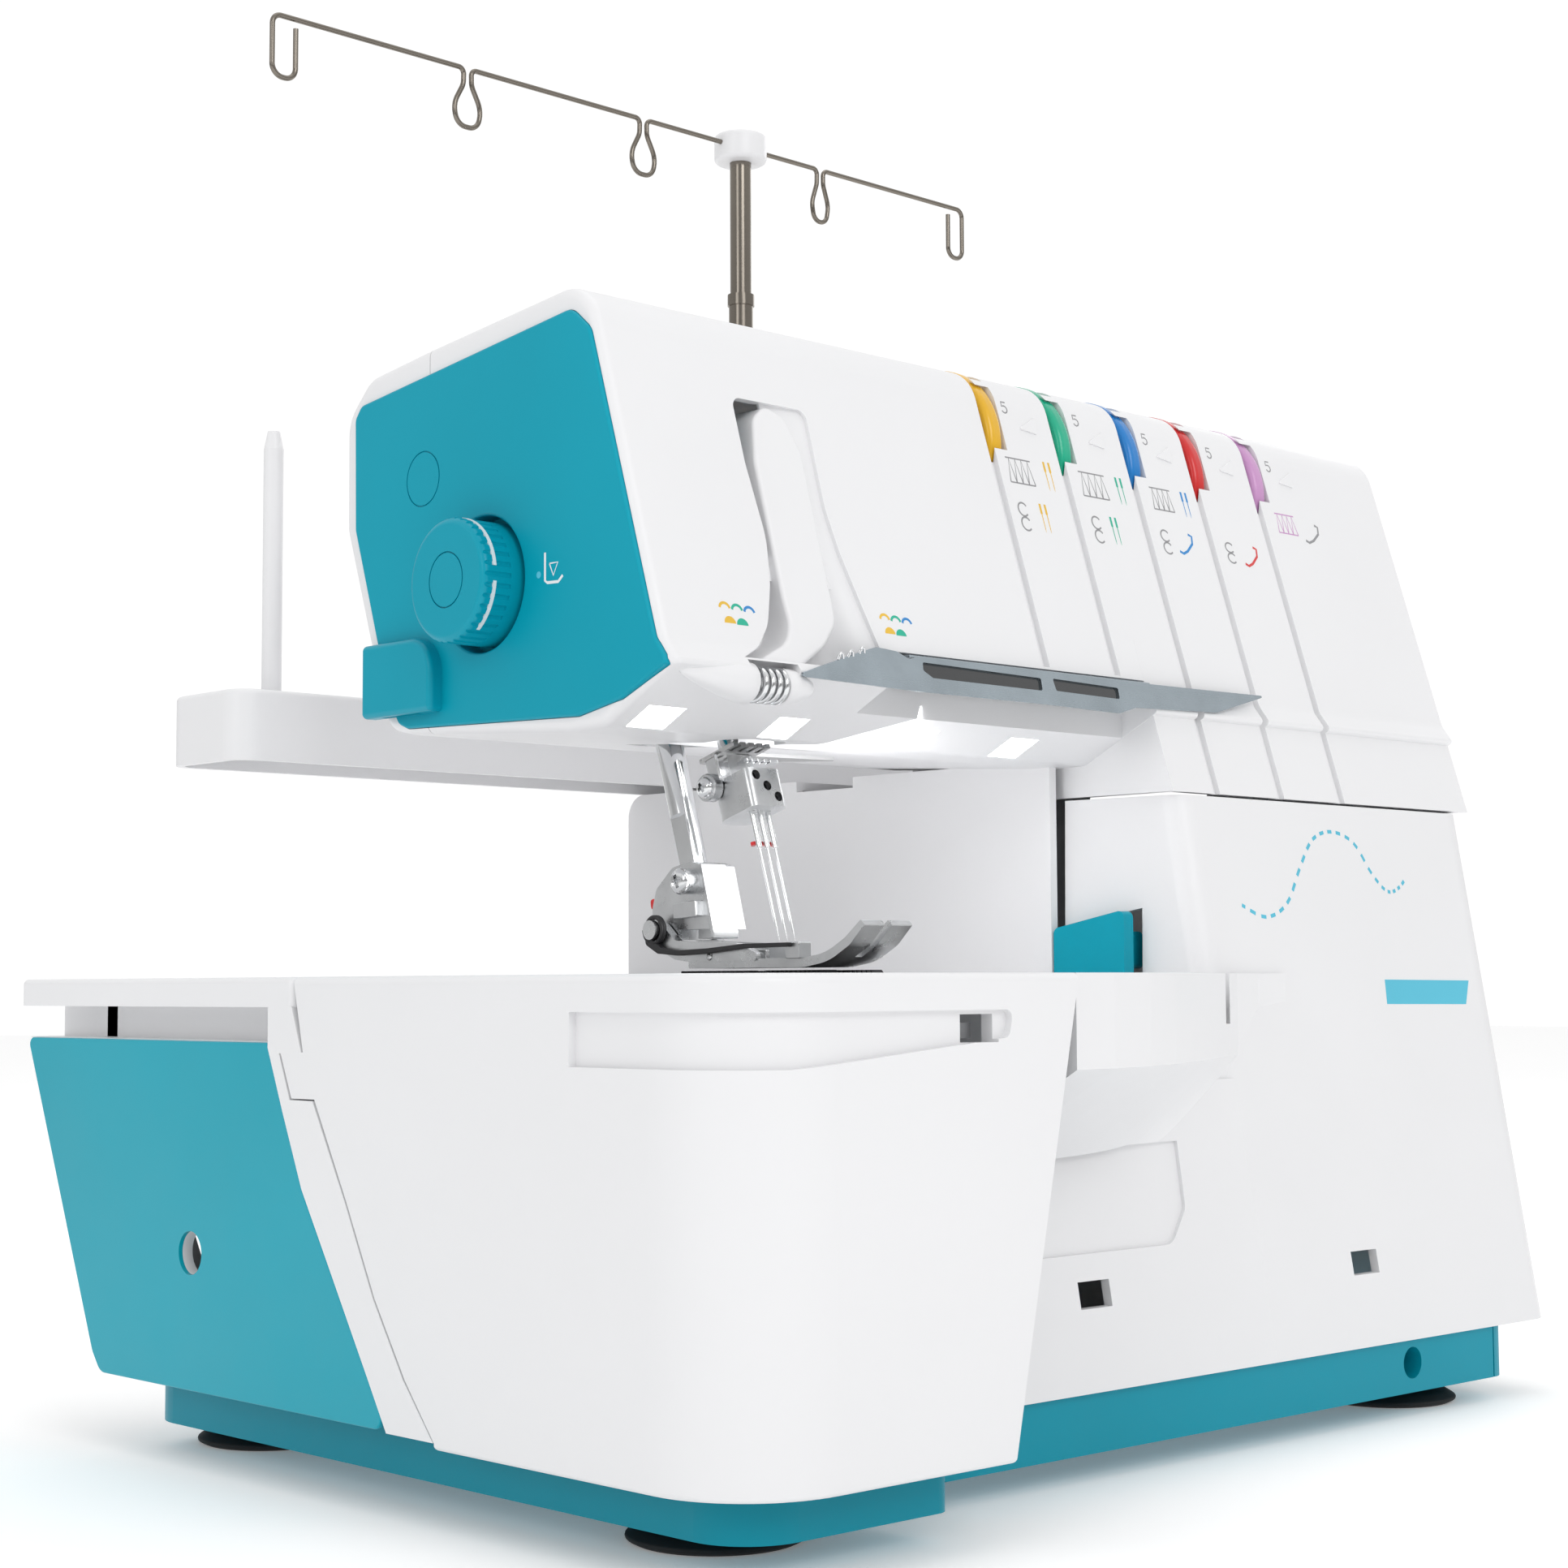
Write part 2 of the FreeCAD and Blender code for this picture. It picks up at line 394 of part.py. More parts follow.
# ------------------------------------------------------------------ head shells
head_pts = [(-60.2, 190.6), (-47.0, 190.2), (21.4, 194.5), (31.2, 196.4), (36.0, 207.0), (52.4, 253.7), (52.6, 285.5), (41.5, 295.4), (12.3, 298.6),
            (-54.9, 304.7), (y_up(210.0), 210.0), (-88.0, 204.6)]
head_rad = [6, 10, 0, 7, 5, 10, 12, 10, 0, 14, 6, 1.2]
hd = prism("x", head_pts, head_rad, HEAD_X, RIGHT_X)
hd_in = prism("x", head_pts, head_rad, HEAD_X + 3.0, RIGHT_X - 3.0)
hf = face("x", head_pts, head_rad, HEAD_X + 3.0).makeOffset2D(-3.2)
hd_in = hf.extrude(V(RIGHT_X - HEAD_X - 6, 0, 0))
# right block, down to the split line
rb_pts = [(y_up(SPLIT_Z), SPLIT_Z), (10.3, SPLIT_Z), (10.3, 215), (y_up(226), 226)]
rb = prism("x", rb_pts, 0, 42.0, RIGHT_X)
rb_in = prism("x", [(y_up(175) + 3.3, 175), (30, 175), (30, 240), (y_up(240) + 3.3, 240)], 0, 45.0, RIGHT_X - 3.0)
STEP_Y = -74.5
step_cut = box(-66.8, 41.8, -120, STEP_Y, 185, 213.8)
hd = hd.cut(step_cut)
hd_in = hd_in.cut(box(-69.8, 44.8, -120, STEP_Y + 3.0, 185, 216.8))
outer = hd.fuse(rb).removeSplitter()
outer = soften(outer, lambda e: abs(e.BoundBox.XMin - RIGHT_X) < 0.01 and abs(e.BoundBox.XMax - RIGHT_X) < 0.01 and e.BoundBox.ZMax > 200 and
               (e.BoundBox.YLength > 2 or e.BoundBox.ZLength > 2), 10)
outer = soften(outer, lambda e: abs(e.BoundBox.XMin - HEAD_X) < 0.01 and abs(e.BoundBox.XMax - HEAD_X) < 0.01, 2.6)
outer = soften(outer, lambda e: abs(e.BoundBox.XMin - 42.0) < 0.01 and abs(e.BoundBox.XMax - 42.0) < 0.01 and e.BoundBox.YMax < -60, 4)
shell = outer.cut(hd_in).cut(rb_in)
# the five thread channels, cut 1.8 mm deep into the front and top faces
gf = face("x", head_pts, head_rad, 0).makeOffset2D(-1.8)
for i, x0 in enumerate(SEAM_X):
    core = gf.extrude(V(SEAM_W, 0, 0)); core.translate(V(x0, 0, 0))
    band_box = box(x0, x0 + SEAM_W, -110, -18, 214.5 if i < 2 else 207.0, 320)
    shell = shell.cut(band_box.cut(core).common(box(x0, x0 + SEAM_W, -110, -18, 180, 320)))
    if i >= 2:
        lo = prism("x", [(y_up(175) - 3, 175), (y_up(215) - 3, 215), (y_up(215) + 1.75, 215), (y_up(175) + 1.75, 175)], 0, x0, x0 + SEAM_W)
        shell = shell.cut(lo)
# dial slots
for x0 in SEAM_X:
    xs = x0 + SEAM_W - 1.0
    shell = shell.cut(rod((xs - 0.5, DIAL_Y, DIAL_Z), (xs + DIAL_W + 0.7, DIAL_Y, DIAL_Z), DIAL_R + 0.7).common(box(-10, 150, -100, 40, 262, 330)))
# take-up slot through the front face
slot_pts = [(-100.1, 279.0), (-100.4, 260.7), (-98.8, 240.4), (-101.1, 228.0), (-105.1, 216.9), (-110.2, 210.6), (-121.0, 205.4), (-121.0, 190.0), (-62.0, 190.0), (-64.5, 209.0),
            (-67.0, 217.0), (-70.3, 229.2), (-72.9, 239.3), (-74.7, 251.7), (-74.0, 270.8), (-73.6, 279.0)]
slot_rad = [3, 30, 30, 20, 12, 8, 0, 0, 0, 8, 20, 30, 30, 30, 30, 3]
shell = shell.cut(prism("y", slot_pts, slot_rad, -110, -58).common(
    prism("x", [(-110, 207.5), (-80.2, 207.5), (-74, 232), (-57.8, 280), (-110, 330)], 0, -130, -60)))
# openings in the underside for the two bars
shell = shell.cut(prism("z", [(-96, -59), (-76, -59), (-76, -31), (-96, -31)], [6, 3, 3, 3], 185, 201)).cut(box(-92, -78, -28, -10, 185, 200))
# window for the guide plate under the front edge
FP = [(47.0, 284.5), (43.9, 288.0), (-49.3, 297.8), (-56.8, 291.5), (-81.9, 210.6), (-85.3, 206.2), (-86.0, 204.0), (-68.9, 196.6), (-52.1, 193.6), (21.4, 195.9),
      (25.6, 197.5), (35.5, 220.5), (46.5, 253.0)]
FP_RAD = [3, 3, 6, 6, 5, 0, 1, 4, 4, 3, 4, 6, 4]
shell = shell.cut(prism("x", FP, FP_RAD, HEAD_X - 5, HEAD_X + 3.1))
# LED windows in the underside
LEDS = [(-134.0, -122.0), (-89.8, -79.5), (-41.6, -30.4), (-1.2, 10.2)]
LED_Y = (-70.0, -61.0)


def z_strip(y):
    return 195.05 - 0.504 * (y + 69.0)


def led(x0, x1, grow, z0, z1):
    a, b = LED_Y[0] - grow, LED_Y[1] + grow
    return prism("x", [(a, z_strip(a) + z0), (b, z_strip(b) + z0), (b, z_strip(b) + z1), (a, z_strip(a) + z1)], 0, x0 - grow, x1 + grow)


for x0, x1 in LEDS:
    shell = shell.cut(led(x0, x1, 0.1, -5.0, 6.0))
front_shell = half(shell, 12.2, True)
rear_shell = half(shell, 12.5, False)
fs = sorted(front_shell.Solids, key=lambda s: -s.Volume)[0]
rs = sorted(rear_shell.Solids, key=lambda s: -s.Volume)[0]
fs = fs.cut(rod((-116.0, -84.0, 201.6), (-99.0, -84.0, 201.6), 5.8))
fs = sorted(fs.Solids, key=lambda s: -s.Volume)[0]
LIFT_X, LIFT_Z = -58.0, 226.0
rs = rs.cut(rod((LIFT_X, 30, LIFT_Z), (LIFT_X, 60, LIFT_Z), 4.2))
node("upper_front_cover", fs)
node("top_rear_cover", rs)
rc = rc.cut(fs).cut(rs)
rc = sorted(rc.Solids, key=lambda q: -q.Volume)[0]
node("rear_cover", rc)
leds = []
for x0, x1 in LEDS:
    leds.append(led(x0, x1, 0.0, 0.15, 3.6))
node("led_lenses", group(leds))
fp = prism("x", FP, FP_RAD, HEAD_X - 0.9, HEAD_X + 3.0, inset=0.15)
fp = fp.fuse(rod((HEAD_X + 2, KNOB_Y, KNOB_Z), (HEAD_X + 8.4, KNOB_Y, KNOB_Z), 20.6))
fp = fp.cut(rod((HEAD_X - 3, KNOB_Y, KNOB_Z), (HEAD_X + 5.6, KNOB_Y, KNOB_Z), 18.0))
fp = fp.cut(rod((HEAD_X - 3, KNOB_Y, KNOB_Z), (HEAD_X + 10, KNOB_Y, KNOB_Z), 4.0 + FIT))
fp = fp.cut(ring((HEAD_X - 2, 14.1, 263), (HEAD_X - 0.5, 14.1, 263), 7.6, 7.2))
fp = soften(fp, lambda e: abs(e.BoundBox.XMax - (HEAD_X - 0.9)) < 0.01 and (e.BoundBox.ZLength > 20 or e.BoundBox.YLength > 40), 0.7)
node("face_plate", fp.removeSplitter())
kn = rod((HEAD_X - 12.4, KNOB_Y, KNOB_Z), (HEAD_X + 5.2, KNOB_Y, KNOB_Z), KNOB_R)
kn = soften(kn, lambda e: abs(e.BoundBox.XMax - (HEAD_X - 12.4)) < 0.01, 1.8)
for k in range(36):
    a = math.radians(k * 10)
    kn = kn.cut(rod((HEAD_X - 13, KNOB_Y + (KNOB_R + 0.35) * math.cos(a), KNOB_Z + (KNOB_R + 0.35) * math.sin(a)),
                    (HEAD_X - 3.6, KNOB_Y + (KNOB_R + 0.35) * math.cos(a), KNOB_Z + (KNOB_R + 0.35) * math.sin(a)), 0.75))
kn = kn.cut(ring((HEAD_X - 13, KNOB_Y, KNOB_Z), (HEAD_X - 11.9, KNOB_Y, KNOB_Z), 7.4, 7.0))
kn = fuse(kn, rod((HEAD_X + 5, KNOB_Y, KNOB_Z), (HEAD_X + 16, KNOB_Y, KNOB_Z), 4.0))
node("pressure_knob", kn)
cut_pts = [(37.0, 199.4), (5.0, 199.4), (5.0, 206.0), (9.5, 214.5), (17.0, 219.2), (24.0, 220.0), (37.0, 220.0)]
tc = prism("x", [(5.0, 199.4), (5.0, 219.5), (37.0, 219.5), (37.0, 199.4)], [1.5, 13, 1.5, 1.5], HEAD_X - 5.0, HEAD_X - 0.9)
tc = soften(tc, lambda e: abs(e.BoundBox.XMax - (HEAD_X - 5.0)) < 0.01, 1.5)
tc = tc.cut(box(HEAD_X - 3.0, HEAD_X - 1.4, 12, 30, 199, 206))
node("thread_cutter", tc)

# take-up cover rib standing in the slot
rib_pts = [(-96.2, 262.0), (-97.1, 225.1), (-96.6, 217.7), (-99.3, 212.7), (-113.0, 206.0), (-99.4, 204.4), (-85.7, 212.7), (-79.9, 219.2), (-79.5, 223.4), (-78.2, 266.0),
           (-82.0, 276.0), (-88.3, 278.4), (-93.5, 274.0)]
rib = prism("y", rib_pts, [10, 20, 10, 8, 1, 2, 10, 6, 10, 10, 6, 4, 6], -110, -30).common(
    prism("x", [(y_up(200) + 0.2, 200), (y_up(285) + 0.2, 285), (y_up(285) + 13, 285), (y_up(200) + 13, 200)], 0, -125, -60))
rib = soften(rib, lambda e: e.BoundBox.YMax - y_up(e.BoundBox.ZMax) < 1.0 and e.BoundBox.ZLength > 30, 3.0)
COIL_BOX = rod((-116.0, -84.0, 201.6), (-99.0, -84.0, 201.6), 5.8)
rib = rib.cut(COIL_BOX).cut(fs)
rib = sorted(rib.Solids, key=lambda q: -q.Volume)[0]
node("takeup_cover", rib)

# chrome guide plate under the front edge
gp_pts = [(-99.0, 204.6), (-70.0, 213.5), (97.0, 213.5), (98.6, 212.2), (36.0, 203.8), (-93.0, 203.3)]
gp = prism("y", gp_pts, [0.8, 4, 1, 1, 8, 1], -110, -50).common(
    prism("x", [(y_up(198) - 3.4, 198), (y_up(220) - 3.4, 220), (y_up(220) - 2.2, 220), (y_up(198) - 2.2, 198)], 0, -110, 110))
for x0, x1 in ((-44.0, 6.0), (8.5, 33.0)):
    gp = gp.cut(box(x0, x1, -100, -60, 205.6, 211.4))
gp = fuse(gp, box(-65.5, 40.5, y_up(213) - 3.2, -76.0, 212.4, 213.5))
node("thread_guide_plate", gp)

# coil thread guide at the bottom of the slot
CG = V(-113.0, -84.0, 202.0)
coil = []
for k in range(4):
    c = Part.makeTorus(4.0, 0.75, V(CG.x + k * 2.6, CG.y, CG.z - 0.3 * k), V(1, 0, 0))
    coil.append(c)
spine = rod((CG.x - 1.5, CG.y + 4.0, CG.z), (-99.0, CG.y + 4.0, CG.z), 0.9)
coil_s = spine
for c in coil:
    coil_s = coil_s.fuse(c)
node("coil_thread_guide", coil_s.removeSplitter())

# ------------------------------------------------------------------ needle bar group (drawn in the tilted frame, then placed)
CLAMP_DOWN = 6.2
nb = rod((0, NEEDLE_N, -18 - CLAMP_DOWN), (0, NEEDLE_N, 86), NEEDLE_R)
nb = fuse(nb, ring((0, NEEDLE_N, 46.5), (0, NEEDLE_N, 54.5), 6.0, NEEDLE_R - 0.5), rod((0, NEEDLE_N, 50.5), (9.5, NEEDLE_N, 50.5), 2.2))
node("needle_bar", tilt(nb))
cl = prism("z", [(-6.2, NEEDLE_N - 11), (6.2, NEEDLE_N - 11), (6.2, NEEDLE_N + 4.4), (-6.2, NEEDLE_N + 4.4)], [2, 2, 4, 4], -24, -13.5)
cl = cl.fuse(prism("z", [(-7.0, NEEDLE_N - 3.6), (5, NEEDLE_N - 3.6), (5, NEEDLE_N + 4.6), (-7.0, NEEDLE_N + 4.6)], [2, 2, 3, 3], -13.6, -7.0))
cl = cl.cut(rod((0, NEEDLE_N, -18.0), (0, NEEDLE_N, 0), NEEDLE_R))
NX = [-2.8, 0.0, 2.8]
ND = NEEDLE_N - 6.2
SET = []
for i, x in enumerate(NX):
    cl = cl.cut(rod((x, ND, -25), (x, ND, -15.0), 0.85))
    zt = -21.3 + 2.9 * (2 - i)
    SET.append(rod((x * 1.15, NEEDLE_N - 11.7, zt), (x * 1.15, ND - 1.0, zt), 1.35).cut(rod((x * 1.15, NEEDLE_N - 12, zt), (x * 1.15, NEEDLE_N - 10.6, zt), 0.7)))
    cl = cl.cut(rod((x * 1.15, NEEDLE_N - 12, zt), (x * 1.15, ND - 1.0, zt), 1.35))
SET.append(rod((-10.2, NEEDLE_N + 0.2, -15.0), (-7.0, NEEDLE_N + 0.2, -15.0), 3.2).cut(box(-10.4, -9.4, NEEDLE_N - 4, NEEDLE_N + 4, -15.4, -14.6)))
node("needle_clamp", tilt(lowered(cl.removeSplitter())))
node("needle_set_screws", tilt(lowered(group(SET))))
ndl = []
for x in NX:
    tipz = -59.6
    n1 = rod((x, ND, -34.0), (x, ND, -15.2), 0.8)
    n2 = rod((x, ND, tipz + 6.0), (x, ND, -33.9), 0.42)
    n3 = cone((x, ND, tipz), (x, ND, tipz + 6.05), 0.05, 0.42)
    ndl.append(fuse(n1, n2, n3))
node("needles", tilt(lowered(group(ndl))))
ng = box(-7.0, 6.0, NEEDLE_N - 9.0, NEEDLE_N + 5.0, -6.9, -5.7)
for k in range(4):
    ng = ng.cut(box(-5.6 + 3 * k, -4.4 + 3 * k, NEEDLE_N - 10, NEEDLE_N - 5.2, -8, -5))
ng = ng.fuse(prism("z", [(5.5, NEEDLE_N - 3.0), (5.5, NEEDLE_N + 1.5), (34.0, NEEDLE_N - 3.6), (34.0, NEEDLE_N - 4.2)], 0, -6.9, -5.9))
ng = ng.cut(rod((0, NEEDLE_N, -10), (0, NEEDLE_N, 0), NEEDLE_R))
node("needle_thread_guide", tilt(lowered(ng.removeSplitter())))

# ------------------------------------------------------------------ presser bar group
pb = rod((0, PRESSER_N, -38), (0, PRESSER_N, 86), PRESSER_R).cut(box(-5, -2.4, 0, 20, -39, -21)).cut(box(2.4, 5, 0, 20, -39, -21))
pb = fuse(pb, ring((0, PRESSER_N, 38), (0, PRESSER_N, 43), 6.2, PRESSER_R - 0.5))
node("presser_bar", tilt(pb))
ank = prism("x", [(-40.0, 158.6), (-36.0, 159.6), (-28.6, 158.2), (-22.0, 152.6), (-20.4, 147.5), (-20.4, 141.5), (-22.6, 138.9), (-45.2, 138.9), (-44.8, 141)], [1, 2, 4, 3, 3, 3, 2, 1, 1], -91.0, -79.0)
ank = ank.cut(tilt(rod((0, PRESSER_N, -38), (0, PRESSER_N, 0), PRESSER_R).cut(box(-5, -2.4, 0, 20, -39, -21)).cut(box(2.4, 5, 0, 20, -39, -21))))
ank = ank.cut(box(-92, -78, -48, -31, 138, 141.6))
ank = ank.cut(box(-88.0, -82.0, -48, -36, 138, 148))
ankle_screw = fuse(rod((-95.0, -36.0, 154.2), (-90.9, -36.0, 154.2), 3.4), rod((-91.0, -36.0, 154.2), (-88.8, -36.0, 154.2), 1.9))
ankle_screw = ankle_screw.cut(box(-96, -94, -38.2, -33.8, 153.8, 154.6)).cut(box(-96, -94, -36.4, -35.6, 152, 156.4))
ank = ank.cut(rod((-92, -36.0, 154.2), (-88.8, -36.0, 154.2), 1.9))
PIV_Y, PIV_Z = -26.0, 141.5
ank = ank.cut(rod((-92, PIV_Y, PIV_Z), (-78, PIV_Y, PIV_Z), 1.5))
pin = fuse(rod((-95.5, PIV_Y, PIV_Z), (-75.5, PIV_Y, PIV_Z), 1.5), rod((-97.0, PIV_Y, PIV_Z), (-95.4, PIV_Y, PIV_Z), 2.6), rod((-75.6, PIV_Y, PIV_Z), (-74.4, PIV_Y, PIV_Z), 2.6))
node("presser_foot_holder", group([ank.removeSplitter(), ankle_screw, pin]))
# foot: side cheeks outside the holder, sole with a curled toe
ft_prof = [(-31.0, 131.4), (-86.0, 131.4), (-95.0, 132.4), (-102.0, 136.0), (-108.5, 141.2), (-109.6, 140.0), (-104.0, 135.0), (-97.0, 131.9)]
sole = prism("x", [(-38.0, 131.2), (-82.0, 131.2), (-91.0, 132.6), (-98.5, 136.6), (-103.8, 141.6), (-102.4, 142.8), (-96.8, 138.4), (-89.6, 134.6), (-81.0, 133.6), (-38.0, 133.6)],
             [0.6, 20, 20, 6, 0.4, 0.4, 6, 20, 10, 0.6], -93.5, -76.5)
sole = sole.cut(prism("z", [(-90.0, -74), (-80.0, -74), (-80.0, -61), (-90.0, -61)], 3, 125, 140))
sole = sole.cut(box(-86.2, -83.8, -120, -93, 125, 150))
cheek = []
for x0 in (-94.0, -78.6):
    cheek.append(prism("x", [(-38.0, 133.0), (-70.0, 133.0), (-58.0, 137.6), (-33.0, 138.6), (-29.6, 141.5), (-26.0, 144.4), (-22.6, 141.5), (-25.0, 137.0), (-33.0, 133.6)],
                       [0, 3, 8, 4, 2, 3, 3, 3, 1], x0, x0 + 2.6))
foot = fuse(sole, *cheek)
foot = foot.cut(rod((-97, PIV_Y, PIV_Z), (-74, PIV_Y, PIV_Z), 1.5 + FIT))
node("presser_foot", foot)
# lifter lever behind the head
lift = fuse(rod((LIFT_X, 31.8, LIFT_Z), (LIFT_X, 58.5, LIFT_Z), 4.0),
            prism("y", [(LIFT_X + 8, LIFT_Z - 7), (LIFT_X + 8, LIFT_Z + 7), (LIFT_X - 12, LIFT_Z + 6), (LIFT_X - 58, LIFT_Z - 8), (LIFT_X - 60, LIFT_Z - 20), (LIFT_X - 12, LIFT_Z - 6)], [6, 6, 8, 6, 6, 8], 56, 62))
lift = soften(lift, lambda e: e.BoundBox.YMin > 61.9, 1.6)
node("presser_lifter", lift)
# ------------------------------------------------------------------ take-up lever on its pin
TK_Y, TK_Z = -30.0, 266.0
tk = prism("x", [(-25.0, 262.0), (-25.0, 270.0), (-50.0, 275.4), (-55.0, 274.6), (-55.6, 271.4), (-50.0, 268.2)], [3.8, 3.8, 4, 2, 2, 4], -98.9, -96.3)
tk = tk.fuse(rod((-98.9, TK_Y, TK_Z), (-96.3, TK_Y, TK_Z), 5.0)).cut(rod((-100, TK_Y, TK_Z), (-95, TK_Y, TK_Z), 2.5 + FIT)).cut(rod((-100, -52.0, 272.2), (-95, -52.0, 272.2), 1.0))
node("take_up_lever", tk.removeSplitter())
# ------------------------------------------------------------------ loopers
UL = (-48.0, 72.0)
ul = prism("y", [(-48, 66), (-42, 72), (-48, 80), (-60, 90), (-86.0, 98.6), (-87, 96.6), (-66, 85), (-54, 74)], [4, 4, 3, 8, 0.4, 0.3, 6, 3], -62.0, -58.8)
ul = ul.fuse(rod((UL[0], -62.0, UL[1]), (UL[0], -58.8, UL[1]), 5.5)).cut(rod((UL[0], -63, UL[1]), (UL[0], -58, UL[1]), 2.5 + FIT))
node("upper_looper", ul.removeSplitter())
LL = (-118.0, 62.0)
ll = prism("y", [(-118, 56), (-112, 62), (-106, 80), (-84.0, 94.4), (-84.5, 97.0), (-108, 88), (-122, 66)], [4, 4, 8, 0.3, 0.4, 8, 4], -86.0, -82.8)
ll = ll.fuse(rod((LL[0], -86.0, LL[1]), (LL[0], -82.8, LL[1]), 5.5)).cut(rod((LL[0], -87, LL[1]), (LL[0], -82, LL[1]), 2.5 + FIT))
node("lower_looper", ll.removeSplitter())

# ------------------------------------------------------------------ main frame casting
mf = box(-150, 168, -92, 92, 24.0, 30.0)
A = box(-52, -44, -54, 60, 29.5, 112)
B = fuse(box(150, 158, -40, 95, 29.5, 184), box(150, 158, -40, 28, 180, 262))
C = fuse(box(60, 68, -40, 70, 29.5, 184), box(60, 68, -40, 28, 180, 262))
deck = box(-52, 68, 30, 60, 104, 112)
brace = box(60, 158, 60, 70, 130, 184)
arm_rear = box(-118, 158, 20, 28, 212, 262)
arm_top = box(-118, 158, 5, 28, 256, 262)
mf = fuse(mf, A, B, C, deck, brace, arm_rear, arm_top)
mf = mf.cut(box(78, 142, 55, 75, 142, 172))
for x0 in (-110, -60, -10):
    mf = mf.cut(box(x0 + 6, x0 + 36, 18, 30, 222, 248))
mf = mf.cut(box(-54, -42, -30, 8, 44, 96)).cut(box(58, 70, -24, 50, 120, 240)).cut(box(148, 160, -24, 60, 120, 240)).cut(box(58, 70, 0, 50, 40, 110)).cut(
    box(148, 160, 58, 92, 38, 76))
g1 = box(-8, 8, -18, 19, 16, 24)
g2 = box(-8, 8, -18, 19, 62, 70)
gpl = box(-8, 8, 18, 25, 16, 70)
guides = tilt(fuse(g1, g2, gpl))
mf = mf.fuse(guides).fuse(box(-93, -77, 2, 24, 236, 258))
mf = mf.fuse(rod((-95.4, TK_Y, TK_Z), (-90, TK_Y, TK_Z), 4.6)).fuse(rod((-99.4, TK_Y, TK_Z), (-95, TK_Y, TK_Z), 2.5))
mf = mf.fuse(rod((UL[0], -63.0, UL[1]), (UL[0], -50, UL[1]), 2.5)).fuse(rod((UL[0], -58.4, UL[1]), (UL[0], -53, UL[1]), 4.0))
mf = mf.fuse(box(-124, -112, -80, -62, 29, 70)).fuse(rod((LL[0], -87.0, LL[1]), (LL[0], -79, LL[1]), 2.5)).fuse(rod((LL[0], -82.4, LL[1]), (LL[0], -79, LL[1]), 4.0))
mf = mf.fuse(box(-59.2, -53, -101, -84, 24.5, 96)).fuse(box(-59.2, -50, -95, -50, 24.5, 40))
for x0 in (-140.0, -110.0):
    eye = rod((x0, HINGE_Y, HINGE_Z), (x0 + 6, HINGE_Y, HINGE_Z), 3.6).fuse(box(x0, x0 + 6, HINGE_Y, -90, 24.0, 29.4))
    mf = mf.fuse(eye)
mf = mf.cut(rod((-142, HINGE_Y, HINGE_Z), (-102, HINGE_Y, HINGE_Z), 2.5 + FIT))
# catch that shows through the looper cover's window
mf = mf.fuse(box(-116, -113, -112, -88, 24.5, 118)).fuse(box(-116, -103, -112, -108, 110, 118)).fuse(box(-112.5, -104.5, -149.0, -110, 114.4, 118.0))
# holes: shaft, motor, bars
for x0, x1 in ((-54, -42), (58, 70), (148, 160)):
    mf = mf.cut(rod((x0, SHAFT_Y, SHAFT_Z), (x1, SHAFT_Y, SHAFT_Z), 9.0))
mf = mf.cut(tilt(rod((0, NEEDLE_N, 10), (0, NEEDLE_N, 80), 5.0))).cut(tilt(rod((0, PRESSER_N, 10), (0, PRESSER_N, 80), 5.4)))
# left cover hinge post
mf = mf.fuse(box(-166, -149, 70, 92, 24.0, 30.0)).fuse(prism("x", [(80, 24.5), (92, 24.5), (146, 112), (146, 117.5), (133, 117.5), (133, 108)], 0, -168, -158)).fuse(box(-168, -148, 78, 92, 24.5, 30.0))
mf = mf.fuse(box(-168, -131, 133, 158.5, 113.2, 117.5)).fuse(rod((LC_X, LC_Y, 113), (LC_X, LC_Y, 126.5), 2.5))
mf = mf.cut(box(-186, -181.4, 120, 160, 100, 118))
# feet screws reach the frame: four posts down to the pan floor
for fx, fy in FEET:
    mf = mf.fuse(rod((max(fx, -140), max(min(fy, 84), -86), 9.7), (max(fx, -140), max(min(fy, 84), -86), 25), 5))
mf = mf.fuse(rod((LIFT_X, 27, LIFT_Z), (LIFT_X, 31.5, LIFT_Z), 6.0))
mf = mf.cut(rod((-20, DIAL_Y, DIAL_Z), (150, DIAL_Y, DIAL_Z), DIAL_R + 2.0))
mf = mf.cut(fs).cut(rs).cut(rc).cut(lfc)
mf = sorted(mf.removeSplitter().Solids, key=lambda q: -q.Volume)[0]
node("main_frame", mf)
bush = []
for x0, x1 in ((-52, -44), (60, 68), (150, 158)):
    bush.append(ring((x0, SHAFT_Y, SHAFT_Z), (x1, SHAFT_Y, SHAFT_Z), 9.0, SHAFT_R + FIT))
for t0, t1 in ((16, 24), (62, 70)):
    bush.append(tilt(ring((0, NEEDLE_N, t0), (0, NEEDLE_N, t1), 5.0, NEEDLE_R + FIT)))
    bush.append(tilt(ring((0, PRESSER_N, t0), (0, PRESSER_N, t1), 5.4, PRESSER_R + FIT)))
node("shaft_bushings", group(bush))

